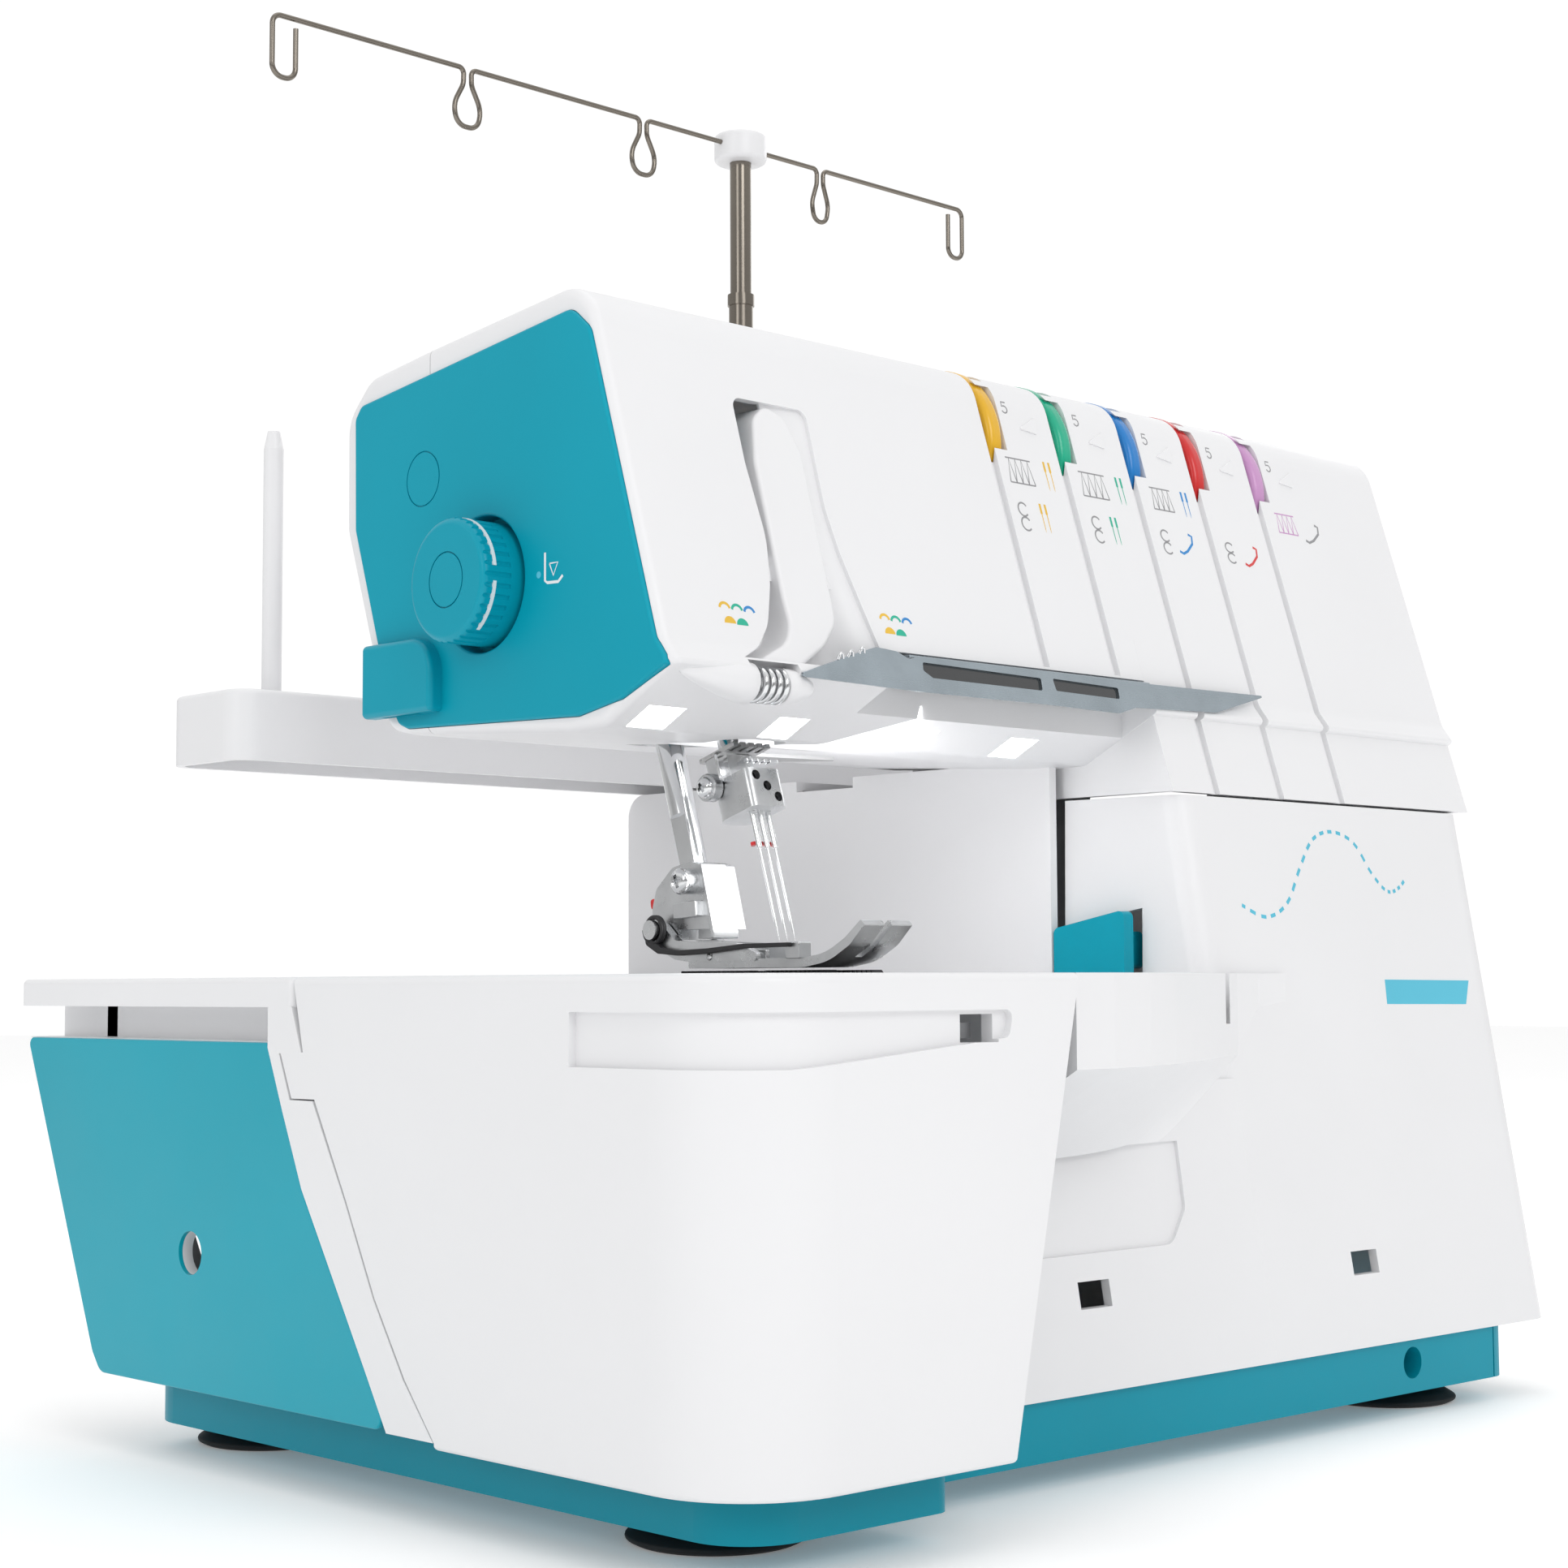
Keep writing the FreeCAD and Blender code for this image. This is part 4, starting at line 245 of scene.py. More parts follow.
w = bpy.data.worlds.new("studio")
bpy.context.scene.world = w
w.use_nodes = True
wt = w.node_tree
bg = wt.nodes["Background"]
wc = wt.nodes.new("ShaderNodeTexCoord")
sp = wt.nodes.new("ShaderNodeSeparateXYZ")
wt.links.new(wc.outputs["Generated"], sp.inputs["Vector"])
ramp = wt.nodes.new("ShaderNodeValToRGB")
wt.links.new(maprange(wt, sp.outputs["Z"], -1.0, 1.0, 0.0, 1.0), ramp.inputs["Fac"])
el = ramp.color_ramp.elements
el[0].position, el[0].color = 0.0, (0.7, 0.7, 0.7, 1)
el[1].position, el[1].color = 1.0, (0.92, 0.92, 0.92, 1)
for p_, c_ in ((0.50, 0.62), (0.545, 0.40), (0.60, 0.46), (0.66, 0.86), (0.80, 0.90)):
    e_ = el.new(p_)
    e_.color = (c_, c_, c_, 1)


def facing(v, lo, hi, a_, b_):
    d_ = wt.nodes.new("ShaderNodeVectorMath")
    d_.operation = "DOT_PRODUCT"
    wt.links.new(wc.outputs["Generated"], d_.inputs[0])
    d_.inputs[1].default_value = v
    return maprange(wt, d_.outputs["Value"], lo, hi, a_, b_)


mul = wt.nodes.new("ShaderNodeVectorMath")
mul.operation = "SCALE"
wt.links.new(ramp.outputs["Color"], mul.inputs[0])
wt.links.new(facing((-0.70, -0.70, 0.10), 0.35, 0.95, 1.0, 0.72), mul.inputs["Scale"])
mx = wt.nodes.new("ShaderNodeMix")
mx.data_type = "RGBA"
wt.links.new(facing((0.6821, 0.7273, 0.0756), 0.84, 0.92, 0.0, 1.0), mx.inputs[0])
wt.links.new(mul.outputs["Vector"], mx.inputs[6])
mx.inputs[7].default_value = (1.04, 1.04, 1.04, 1)
wt.links.new(mx.outputs[2], bg.inputs["Color"])
bg.inputs["Strength"].default_value = 1.0


def area(name, loc, target, size, power, col=(1, 1, 1), sy=None):
    ld = bpy.data.lights.new(name, "AREA")
    ld.energy = power
    ld.color = col
    ld.shape = "RECTANGLE"
    ld.size = size
    ld.size_y = sy or size
    o = bpy.data.objects.new(name, ld)
    o.location = loc
    d = Vector(target) - Vector(loc)
    o.rotation_euler = d.to_track_quat("-Z", "Y").to_euler()
    bpy.context.scene.collection.objects.link(o)
    return o


area("key", (-0.7, -2.2, 1.5), (0, 0, 0.15), 1.1, 12.5)
area("left_soft", (-2.4, -0.5, 1.0), (0, 0, 0.15), 0.9, 5)
area("top", (0.2, 0.1, 2.6), (0, 0, 0.1), 1.8, 7)
area("right_rim", (2.2, 0.6, 1.0), (0, 0, 0.15), 1.0, 4)
area("throat_glow", m(-70, -62, 172), m(20, 60, 140), 0.06, 0.045)

cd = bpy.data.cameras.new("camera")
cam = bpy.data.objects.new("camera", cd)
bpy.context.scene.collection.objects.link(cam)
r = Vector((0.72965, -0.68384, -0.00472)).normalized()
f = Vector((0.6821, 0.7273, 0.0756)).normalized()
u = r.cross(f).normalized() * 1.0
r = f.cross(u).normalized()
C = m(-552.0, -564.0, 127.0)
M = Matrix(((r.x, u.x, -f.x, C.x), (r.y, u.y, -f.y, C.y), (r.z, u.z, -f.z, C.z), (0, 0, 0, 1)))
cam.matrix_world = M
cd.sensor_width = 36.0
cd.lens = 60.58
cd.clip_start = 0.01
cd.clip_end = 50.0
bpy.context.scene.camera = cam
try:
    bpy.context.scene.view_settings.view_transform = "Standard"
except Exception:
    pass

CREATED = []


# ------------------------------------------------------------------ mesh helpers
from mathutils.bvhtree import BVHTree

TILT = math.atan(0.305)
CT, ST = math.cos(TILT), math.sin(TILT)


def tl(x, n, t, drop=0.0):
    """Tilted bar frame (x, n, t) to construction millimetres."""
    return (-85.0 + x, -31.2 + n * CT + t * ST, 195.8 - n * ST + t * CT - drop)


def rounded(pts, rad, seg=5):
    out = []
    n = len(pts)
    rr = rad if isinstance(rad, (list, tuple)) else [rad] * n
    for i in range(n):
        a, p, b2, rr_i = Vector(pts[i - 1]), Vector(pts[i]), Vector(pts[(i + 1) % n]), rr[i]
        ua, ub = (a - p), (b2 - p)
        la, lb = ua.length, ub.length
        if rr_i <= 0 or la < 1e-6 or lb < 1e-6:
            out.append(p); continue
        ua /= la; ub /= lb
        ang = math.acos(max(-1, min(1, ua.dot(ub))))
        if ang > math.pi - 0.03 or ang < 0.03:
            out.append(p); continue
        t = min(rr_i / math.tan(ang / 2), 0.48 * la, 0.48 * lb)
        q = t * math.tan(ang / 2)
        c = p + (ua + ub).normalized() * (q / math.sin(ang / 2))
        s, e = p + ua * t, p + ub * t
        a0 = math.atan2(s.y - c.y, s.x - c.x)
        a1 = math.atan2(e.y - c.y, e.x - c.x)
        d = (a1 - a0 + math.pi) % (2 * math.pi) - math.pi
        for k in range(seg + 1):
            th = a0 + d * k / seg
            out.append(Vector((c.x + q * math.cos(th), c.y + q * math.sin(th))))
    return out


def make(name, verts, faces, mat, body, bevel=0.0, seg=2, smooth=38.0, xf=None, slot=None):
    """A closed mesh in construction millimetres, riding on a body."""
    me = bpy.data.meshes.new(name)
    f = xf or (lambda *v: v)
    me.from_pydata([m(*f(*v)) for v in verts], [], faces)
    bm = bmesh.new()
    bm.from_mesh(me)
    bmesh.ops.remove_doubles(bm, verts=bm.verts, dist=1e-7)
    bmesh.ops.recalc_face_normals(bm, faces=bm.faces)
    bm.to_mesh(me)
    bm.free()
    me.validate()
    o = bpy.data.objects.new(name, me)
    bpy.context.scene.collection.objects.link(o)
    me.materials.append(mat)
    finish_mesh(o, bevel, seg, smooth)
    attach(o, body)
    return o


def finish_mesh(o, bevel, seg=2, smooth=38.0):
    for p in o.data.polygons:
        p.use_smooth = True
    if bevel > 0:
        bv = o.modifiers.new("edge", "BEVEL")
        bv.width = bevel / 1000.0
        bv.segments = seg
        bv.limit_method = "ANGLE"
        bv.angle_limit = math.radians(smooth)
        bv.harden_normals = True
        bv.use_clamp_overlap = True
    me = o.data
    me.set_sharp_from_angle(angle=math.radians(smooth))


def prism(name, axis, pts, a, b, mat, body, rad=0.0, bevel=0.25, xf=None, seg=5, **kw):
    p = rounded(pts, rad, seg)
    n = len(p)

    def at(q, h):
        return (h, q[0], q[1]) if axis == "x" else ((q[0], h, q[1]) if axis == "y" else (q[0], q[1], h))

    vs = [at(q, a) for q in p] + [at(q, b) for q in p]
    fs = [tuple(range(n)), tuple(range(2 * n - 1, n - 1, -1))]
    fs += [(i, (i + 1) % n, n + (i + 1) % n, n + i) for i in range(n)]
    return make(name, vs, fs, mat, body, bevel=bevel, xf=xf, **kw)


def lathe(name, p0, p1, prof, mat, body, n=48, bevel=0.0, xf=None, smooth=35.0, **kw):
    """Profile (distance along the axis, radius) turned about the line from p0 towards p1. Ends close on the axis."""
    a, b2 = Vector(p0), Vector(p1)
    d = (b2 - a).normalized()
    t = Vector((0, 0, 1)) if abs(d.z) < 0.9 else Vector((1, 0, 0))
    e1 = d.cross(t).normalized()
    e2 = d.cross(e1).normalized()
    vs, rows = [], []
    for h, r in prof:
        if r < 1e-6:
            rows.append([len(vs)]); vs.append(tuple(a + d * h))
        else:
            row = []
            for k in range(n):
                th = 2 * math.pi * k / n
                row.append(len(vs))
                vs.append(tuple(a + d * h + (e1 * math.cos(th) + e2 * math.sin(th)) * r))
            rows.append(row)
    fs = []
    for r0, r1 in zip(rows, rows[1:]):
        if len(r0) == 1 and len(r1) == 1:
            continue
        for k in range(n):
            k2 = (k + 1) % n
            if len(r0) == 1:
                fs.append((r0[0], r1[k], r1[k2]))
            elif len(r1) == 1:
                fs.append((r0[k], r1[0], r0[k2]))
            else:
                fs.append((r0[k], r1[k], r1[k2], r0[k2]))
    if len(rows[0]) > 1 and len(rows[-1]) > 1 and rows[0] is not rows[-1]:
        if abs(prof[0][0] - prof[-1][0]) < 1e-9 and abs(prof[0][1] - prof[-1][1]) < 1e-9:
            pass
        else:
            fs.append(tuple(rows[0])); fs.append(tuple(reversed(rows[-1])))
    return make(name, vs, fs, mat, body, bevel=bevel, smooth=smooth, xf=xf, **kw)


def carve(o, tools):
    """Cut the tools out of o for good; the tools are removed."""
    for tool in tools:
        md = o.modifiers.new("cut", "BOOLEAN")
        md.operation = "DIFFERENCE"
        md.solver = "EXACT"
        md.object = tool
        # the cut comes before the edge rounding
        while o.modifiers.find(md.name) > 0:
            bpy.context.view_layer.objects.active = o
            o.modifiers.move(o.modifiers.find(md.name), 0)
        keep = [(x, x.show_viewport) for x in o.modifiers if x != md]
        for x, _ in keep:
            x.show_viewport = False
        bpy.context.view_layer.update()
        dg = bpy.context.evaluated_depsgraph_get()
        me = bpy.data.meshes.new_from_object(o.evaluated_get(dg))
        old = o.data
        o.modifiers.remove(md)
        o.data = me
        for x, s in keep:
            x.show_viewport = s
        for p in me.polygons:
            p.use_smooth = True
        me.set_sharp_from_angle(angle=math.radians(38))
        bpy.data.objects.remove(tool)
    return o


def tool_prism(axis, pts, a, b, xf=None, rad=0.0):
    p = rounded(pts, rad)
    n = len(p)

    def at(q, h):
        return (h, q[0], q[1]) if axis == "x" else ((q[0], h, q[1]) if axis == "y" else (q[0], q[1], h))

    f = xf or (lambda *v: v)
    vs = [m(*f(*at(q, a))) for q in p] + [m(*f(*at(q, b))) for q in p]
    fs = [tuple(range(n)), tuple(range(2 * n - 1, n - 1, -1))]
    fs += [(i, (i + 1) % n, n + (i + 1) % n, n + i) for i in range(n)]
    me = bpy.data.meshes.new("tool")
    me.from_pydata(vs, [], fs)
    bm = bmesh.new(); bm.from_mesh(me)
    bmesh.ops.recalc_face_normals(bm, faces=bm.faces)
    bm.to_mesh(me); bm.free()
    o = bpy.data.objects.new("tool", me)
    bpy.context.scene.collection.objects.link(o)
    return o


def tool_rod(p, q, r, n=32, xf=None):
    f = xf or (lambda *v: v)
    a, b2 = Vector(p), Vector(q)
    d = (b2 - a).normalized()
    t = Vector((0, 0, 1)) if abs(d.z) < 0.9 else Vector((1, 0, 0))
    e1 = d.cross(t).normalized()
    e2 = d.cross(e1).normalized()
    vs = []
    for c in (a, b2):
        for k in range(n):
            th = 2 * math.pi * k / n
            vs.append(m(*f(*(c + (e1 * math.cos(th) + e2 * math.sin(th)) * r))))
    fs = [tuple(range(n)), tuple(range(2 * n - 1, n - 1, -1))] + [(i, (i + 1) % n, n + (i + 1) % n, n + i) for i in range(n)]
    me = bpy.data.meshes.new("tool")
    me.from_pydata(vs, [], fs)
    bm = bmesh.new(); bm.from_mesh(me)
    bmesh.ops.recalc_face_normals(bm, faces=bm.faces)
    bm.to_mesh(me); bm.free()
    o = bpy.data.objects.new("tool", me)
    bpy.context.scene.collection.objects.link(o)
    return o


def wire(name, pts, r, mat, body, xf=None, res=4, smooth=True, cyclic=False):
    """A round wire along a smooth line."""
    f = xf or (lambda *v: v)
    cu = bpy.data.curves.new(name, "CURVE")
    cu.dimensions = "3D"
    cu.bevel_depth = r / 1000.0
    cu.bevel_resolution = res
    cu.use_fill_caps = True
    sp = cu.splines.new("NURBS" if smooth else "POLY")
    sp.points.add(len(pts) - 1)
    for i, p in enumerate(pts):
        v = m(*f(*p))
        sp.points[i].co = (v.x, v.y, v.z, 1)
    if smooth:
        sp.order_u = 3
        sp.use_endpoint_u = not cyclic
        sp.use_cyclic_u = cyclic
        sp.resolution_u = 6
    cu.materials.append(mat)
    o = bpy.data.objects.new(name, cu)
    bpy.context.scene.collection.objects.link(o)
    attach(o, body)
    return o


def screw(name, c, d, r, mat, body, h=1.6, xf=None, cross=True, slot_only=False):
    """Pan-head screw with a cross recess, head pointing along d from its seat at c."""
    c, d = Vector(c), Vector(d).normalized()
    prof = [(-0.2, 0.0), (-0.2, r * 0.96), (0.15 * h, r), (0.5 * h, r * 0.93), (0.8 * h, r * 0.74), (0.96 * h, r * 0.42), (h, 0.0)]
    o = lathe(name, tuple(c), tuple(c + d), prof, mat, body, n=40, xf=xf, smooth=50)
    t = Vector((0, 0, 1)) if abs(d.z) < 0.9 else Vector((1, 0, 0))
    e1 = d.cross(t).normalized()
    e2 = d.cross(e1).normalized()
    a0 = 0.35
    f1 = e1 * math.cos(a0) + e2 * math.sin(a0)
    f2 = d.cross(f1)
    tools = []
    for u1, u2 in ((f1, f2), (f2, f1)):
        if slot_only and u1 is f2:
            continue
        w, L = 0.16 * r, (0.66 * r if not slot_only else 1.2 * r)
        q = []
        for h0 in (0.35 * h, 1.5 * h):
            k = 1.0 if h0 > h else 0.55
            for sx, sy in ((-1, -1), (1, -1), (1, 1), (-1, 1)):
                q.append(c + d * h0 + u1 * (sx * L * k) + u2 * (sy * w))
        f = xf or (lambda *v: v)
        me = bpy.data.meshes.new("tool")
        me.from_pydata([m(*f(*p)) for p in q], [], [(0, 1, 2, 3), (7, 6, 5, 4), (0, 4, 5, 1), (1, 5, 6, 2), (2, 6, 7, 3), (3, 7, 4, 0)])
        bm = bmesh.new(); bm.from_mesh(me)
        bmesh.ops.recalc_face_normals(bm, faces=bm.faces)
        bm.to_mesh(me); bm.free()
        to = bpy.data.objects.new("tool", me)
        bpy.context.scene.collection.objects.link(to)
        tools.append(to)
    carve(o, tools)
    return o


# ------------------------------------------------------------------ prints that follow a surface
_trees = {}


def tree(node):
    if node not in _trees:
        me = NODES[node].data
        _trees[node] = BVHTree.FromPolygons([v.co.copy() for v in me.vertices], [tuple(p.vertices) for p in me.polygons])
    return _trees[node]


def on_surface(node, p, nrm):
    """Point (m) and normal where a ray along -nrm from outside p meets the node."""
    hit, n, i, d = tree(node).ray_cast(p + nrm * 0.008, -nrm, 0.03)
    if hit is None:
        return p, nrm
    if n.dot(nrm) < 0:
        n = -n
    return hit, n


def ink_piece(name, node, polys, place, nrm, mat, body, lift=0.05, sink=0.05):
    """Thin closed islands of ink. polys are lists of 2-D points; place(a, b) gives construction millimetres."""
    vs, fs = [], []
    nv = Vector(nrm).normalized()
    for poly in polys:
        n = len(poly)
        base = len(vs)
        top, bot = [], []
        for q in poly:
            h, nn = on_surface(node, m(*place(*q)), nv)
            top.append(h + nn * (lift / 1000.0))
            bot.append(h - nn * (sink / 1000.0))
        vs += top + bot
        fs.append(tuple(base + i for i in range(n)))
        fs.append(tuple(base + n + i for i in reversed(range(n))))
        fs += [(base + i, base + n + i, base + n + (i + 1) % n, base + (i + 1) % n) for i in range(n)]
    me = bpy.data.meshes.new(name)
    me.from_pydata(vs, [], fs)
    bm = bmesh.new(); bm.from_mesh(me)
    bmesh.ops.recalc_face_normals(bm, faces=bm.faces)
    bm.to_mesh(me); bm.free()
    me.validate()
    me.materials.append(mat)
    o = bpy.data.objects.new(name, me)
    bpy.context.scene.collection.objects.link(o)
    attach(o, body)
    return o


def stroke(pts, w, closed=False):
    """Quads along a polyline, as small polygons of width w."""
    out = []
    P = [Vector(p) for p in pts]
    n = len(P)
    L, R = [], []
    for i in range(n):
        if closed:
            d = (P[(i + 1) % n] - P[i - 1])
        else:
            d = P[min(i + 1, n - 1)] - P[max(i - 1, 0)]
        if d.length < 1e-9:
            d = Vector((1, 0))
        d.normalize()
        nn = Vector((-d.y, d.x)) * (w / 2)
        L.append(P[i] + nn); R.append(P[i] - nn)
    k = n if closed else n - 1
    for i in range(k):
        j = (i + 1) % n
        out.append([tuple(L[i]), tuple(L[j]), tuple(R[j]), tuple(R[i])])
    return out


def ribbon(pts, w):
    """One polygon along an open polyline."""
    P = [Vector(p) for p in pts]
    n = len(P)
    L, R = [], []
    for i in range(n):
        d = P[min(i + 1, n - 1)] - P[max(i - 1, 0)]
        d.normalize()
        nn = Vector((-d.y, d.x)) * (w / 2)
        L.append(tuple(P[i] + nn)); R.append(tuple(P[i] - nn))
    return [L + R[::-1]]


def circ(cx, cy, r, n=24, a0=0.0, a1=360.0):
    return [(cx + r * math.cos(math.radians(a0 + (a1 - a0) * k / n)), cy + r * math.sin(math.radians(a0 + (a1 - a0) * k / n))) for k in range(n + (0 if abs(a1 - a0) >= 360 else 1))]


UPN = (0.0, -CT, ST)
LWA = math.atan(0.173)
LWN = (0.0, -math.cos(LWA), math.sin(LWA))
on_up = lambda x, z: (x, y_up(z), z)
on_low = lambda x, z: (x, y_low(z), z)

# ------------------------------------------------------------------ moulded floor behind the take-up slot
LE = [(200.0, -121.0), (205.4, -121.0), (210.6, -110.2), (216.9, -105.1), (228.0, -101.1), (240.4, -98.8), (260.7, -100.4), (279.0, -100.1)]
RE = [(190.0, -62.0), (209.0, -64.5), (217.0, -67.0), (229.2, -70.3), (239.3, -72.9), (251.7, -74.7), (270.8, -74.0), (290.0, -73.6)]


def lerp_at(tab, z):
    for (z0, x0), (z1, x1) in zip(tab, tab[1:]):
        if z <= z1:
            return x0 + (x1 - x0) * max(0.0, (z - z0)) / (z1 - z0)
    return tab[-1][1]


def sstep(t):
    t = max(0.0, min(1.0, t))
    return t * t * (3 - 2 * t)


def slot_floor(name, z0, z1, nz, left_edge):
    nx = 30
    front, back = [], []
    for j in range(nz + 1):
        z = z0 + (z1 - z0) * j / nz
        xl = left_edge(z) - 1.6
        xr = lerp_at(RE, z) + 2.0
        for i in range(nx + 1):
            if i == 0:
                x, d = xl, 1.6
            else:
                x = xl + 0.5 + (xr - xl - 0.5) * (i - 1) / (nx - 1)
                d = 1.3 + 8.7 * sstep((xr - 2.0 - x) / 17.0) * (1 - 0.92 * sstep((z - 258.0) / 14.0))
            zz = 204.86 - 0.437 * d if j == 0 and z0 < 210 else z
            front.append((x, y_up(zz) + d, zz))
            back.append((x, y_up(zz) + d + 0.9, zz))
    vs = front + back
    w_ = nx + 1
    N = len(front)
    fs = []
    for j in range(nz):
        for i in range(nx):
            a = j * w_ + i
            fs.append((a, a + 1, a + 1 + w_, a + w_))
            fs.append((N + a, N + a + w_, N + a + 1 + w_, N + a + 1))
    for j in range(nz):
        a = j * w_
        fs.append((a, a + w_, N + a + w_, N + a))
        a = j * w_ + nx
        fs.append((a, N + a, N + a + w_, a + w_))
    for i in range(nx):
        a = i
        fs.append((a, N + a, N + a + 1, a + 1))
        a = nz * w_ + i
        fs.append((a, a + 1, N + a + 1, N + a))
    return make(name, vs, fs, WHITE, "root", smooth=60)


slot_floor("slot_floor", 205.0, 262.0, 34, lambda z: lerp_at(LE, z))
slot_floor("slot_floor_top", 260.0, 281.0, 12, lambda z: -87.5)

# ------------------------------------------------------------------ nose, wire coil and sleeve at the foot of the slot
CY, CZ = -84.0, 201.2
lathe("coil_nose", (-113.8, CY, CZ), (-140.0, CY - 0.4, CZ + 2.2), [(0.0, 0.0), (0.0, 2.6), (0.25, 4.9), (0.8, 5.3), (4.0, 5.1), (8.0, 4.6), (13.0, 3.6), (18.0, 2.3), (22.0, 1.0), (23.5, 0.0)], WHITE, "root", n=48, smooth=50)
hel = []
for k in range(0, 4 * 24 + 1):
    a = 2 * math.pi * k / 24
    hel.append((-113.2 + 9.4 * k / 96.0, CY + 4.0 * math.sin(a), CZ + 4.0 * math.cos(a)))
coil = wire("coil_guide_wire", hel, 0.78, CHROME, "root", res=4)
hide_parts("coil_thread_guide")
lathe("coil_sleeve", (-103.4, CY, CZ), (-93.0, CY + 0.4, CZ + 0.4), [(0.0, 0.0), (0.0, 4.3), (0.5, 4.7), (3.0, 4.6), (7.0, 3.8), (10.0, 2.4), (10.4, 0.0)], WHITE, "root", n=40, smooth=50)

# ------------------------------------------------------------------ guide plate under the front edge
on_gp = lambda x, h, z: (x, y_up(z) - 3.0 + h, z)
gp = prism("guide_plate", "y", [(-102.3, 203.8), (-85, 209.4), (-76.9, 212), (-70.4, 213.9), (-63, 213.4), (-59.1, 211.6), (-54.8, 212.6), (-4.9, 212.8), (26.3, 212.4), (61.9, 212.6), (93.5, 212.9),
                                (93.5, 212.2), (69.1, 206), (31.3, 204.8), (23.2, 202.6), (-7.7, 203), (-57.4, 202.9)], 0.0, 0.9, GUIDE_PAINTED_REFLECTION, "root",
           rad=[0.6, 6, 6, 3, 3, 2, 1, 0, 0, 0, 0.4, 0.4, 5, 3, 3, 4, 6], bevel=0.16, xf=on_gp)
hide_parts("thread_guide_plate")
carve(gp, [tool_prism("y", [(-54, 211.1), (-7.4, 210.4), (-8, 206.9), (-51.4, 207.1), (-54.5, 208.9)], -1, 2, xf=on_gp, rad=0.6),
           tool_prism("y", [(-2.5, 210.7), (25.4, 210.1), (24.9, 206.9), (-2.1, 207.3)], -1, 2, xf=on_gp, rad=0.6)])
# Black backing seen through the slots: painted shade of the dark interior behind the plate.
prism("guide_plate_painted_shade_backing", "y", [(-56.5, 212.0), (28.0, 211.6), (27.5, 205.4), (-54.0, 205.6)], 0.75, 1.7, PAINTED_SHADE_BLACK, "root", rad=0.8, bevel=0.1, xf=on_gp)
prism("guide_plate_flange", "y", [(-58.0, 212.2), (-58.0, 212.9), (41.0, 212.9), (41.0, 212.2)], 0.5, 9.5, GUIDE_PAINTED_REFLECTION, "root", bevel=0.1, xf=on_gp)
for i, (x, z) in enumerate(((-84.6, 209.9), (-80.8, 210.8), (-76.3, 212.1))):
    wire("thread_hook_%d" % (i + 1), [on_gp(x - 0.9, 0.3, z - 0.6), on_gp(x - 0.6, -0.5, z + 0.9), on_gp(x + 0.5, -0.7, z + 1.2), on_gp(x + 1.0, 0.3, z - 0.2)], 0.38, CHROME, "root", res=3)

# ------------------------------------------------------------------ prints on the upper front
FIVE = [(1.15, 2.1), (-0.95, 2.1), (-1.15, 0.25), (-0.3, 0.62), (0.6, 0.5), (1.2, -0.1), (1.3, -0.95), (0.85, -1.75), (0.0, -2.12), (-0.8, -1.95), (-1.35, -1.35)]


def up_ink(name, polys, mat):
    return ink_piece(name, "upper_front_cover", polys, on_up, UPN, mat, "root")


quads = []
for cx, cz in ((10.0, 293.1), (41.9, 293.9), (73.6, 292.6), (105.3, 292.6), (135.9, 292.3)):
    quads += stroke([(cx + 0.85 * a, cz + 0.8 * b2) for a, b2 in FIVE], 0.42)
up_ink("dial_index_numbers", quads, INK_MID)
# raised pointer wedge beside each dial
for i, x0 in enumerate(SX):
    q = [(x0 + 16.0, 287.2), (x0 + 23.4, 286.3), (x0 + 24.0, 291.7)]
    prism("dial_pointer_%d" % (i + 1), "y", q, -0.35, 0.6, WHITE, "root", rad=0.3, bevel=0.15, xf=lambda x, h, z: (x, y_up(z) + h, z))


def loops(cx, z0, z1, w_=4.0):
    """Two stacked open loops: a looper thread sign."""
    h_ = (z0 - z1) / 2.0
    out = []
    for k in range(2):
        c = z0 - h_ * (k + 0.5)
        out += stroke([(cx + w_ / 2 * math.cos(math.radians(a)), c + h_ * 0.46 * math.sin(math.radians(a))) for a in range(35, 331, 15)], 0.5)
    return out


def ndl_sign(cx, z0, z1, n_=2, gap=2.2):
    out = []
    for k in range(n_):
        x = cx + (k - (n_ - 1) / 2) * gap
        out.append([(x - 0.42, z0), (x + 0.42, z0), (x + 0.42, z0 - 3.0), (x + 0.16, z0 - 3.2), (x + 0.12, z1 + 1.2), (x, z1), (x - 0.12, z1 + 1.2), (x - 0.16, z0 - 3.2), (x - 0.42, z0 - 3.0)])
    return out


def net_sign(x0, x1, z0, z1):
    """A small stitch sign: a row of slanted crossing strokes between two rails."""
    out = stroke([(x0, z0), (x1, z0)], 0.4) + stroke([(x0, z1), (x1, z1)], 0.4)
    n_ = 4
    for k in range(n_):
        a = x0 + (x1 - x0) * k / n_
        b2 = x0 + (x1 - x0) * (k + 1) / n_
        out += stroke([(a, z1), ((a + b2) / 2, z0), (b2, z1)], 0.34)
    return out


def hook_sign(x0, x1, z0, z1):
    c = (x0 + x1) / 2
    return stroke([(x0, z1 + 0.6), (x0 + 1.6, z1), (c, z1 + 1.0), (x1 - 0.6, (z0 + z1) / 2 + 0.4), (x1, z0 - 0.5), (x1 - 1.6, z0)], 0.8)


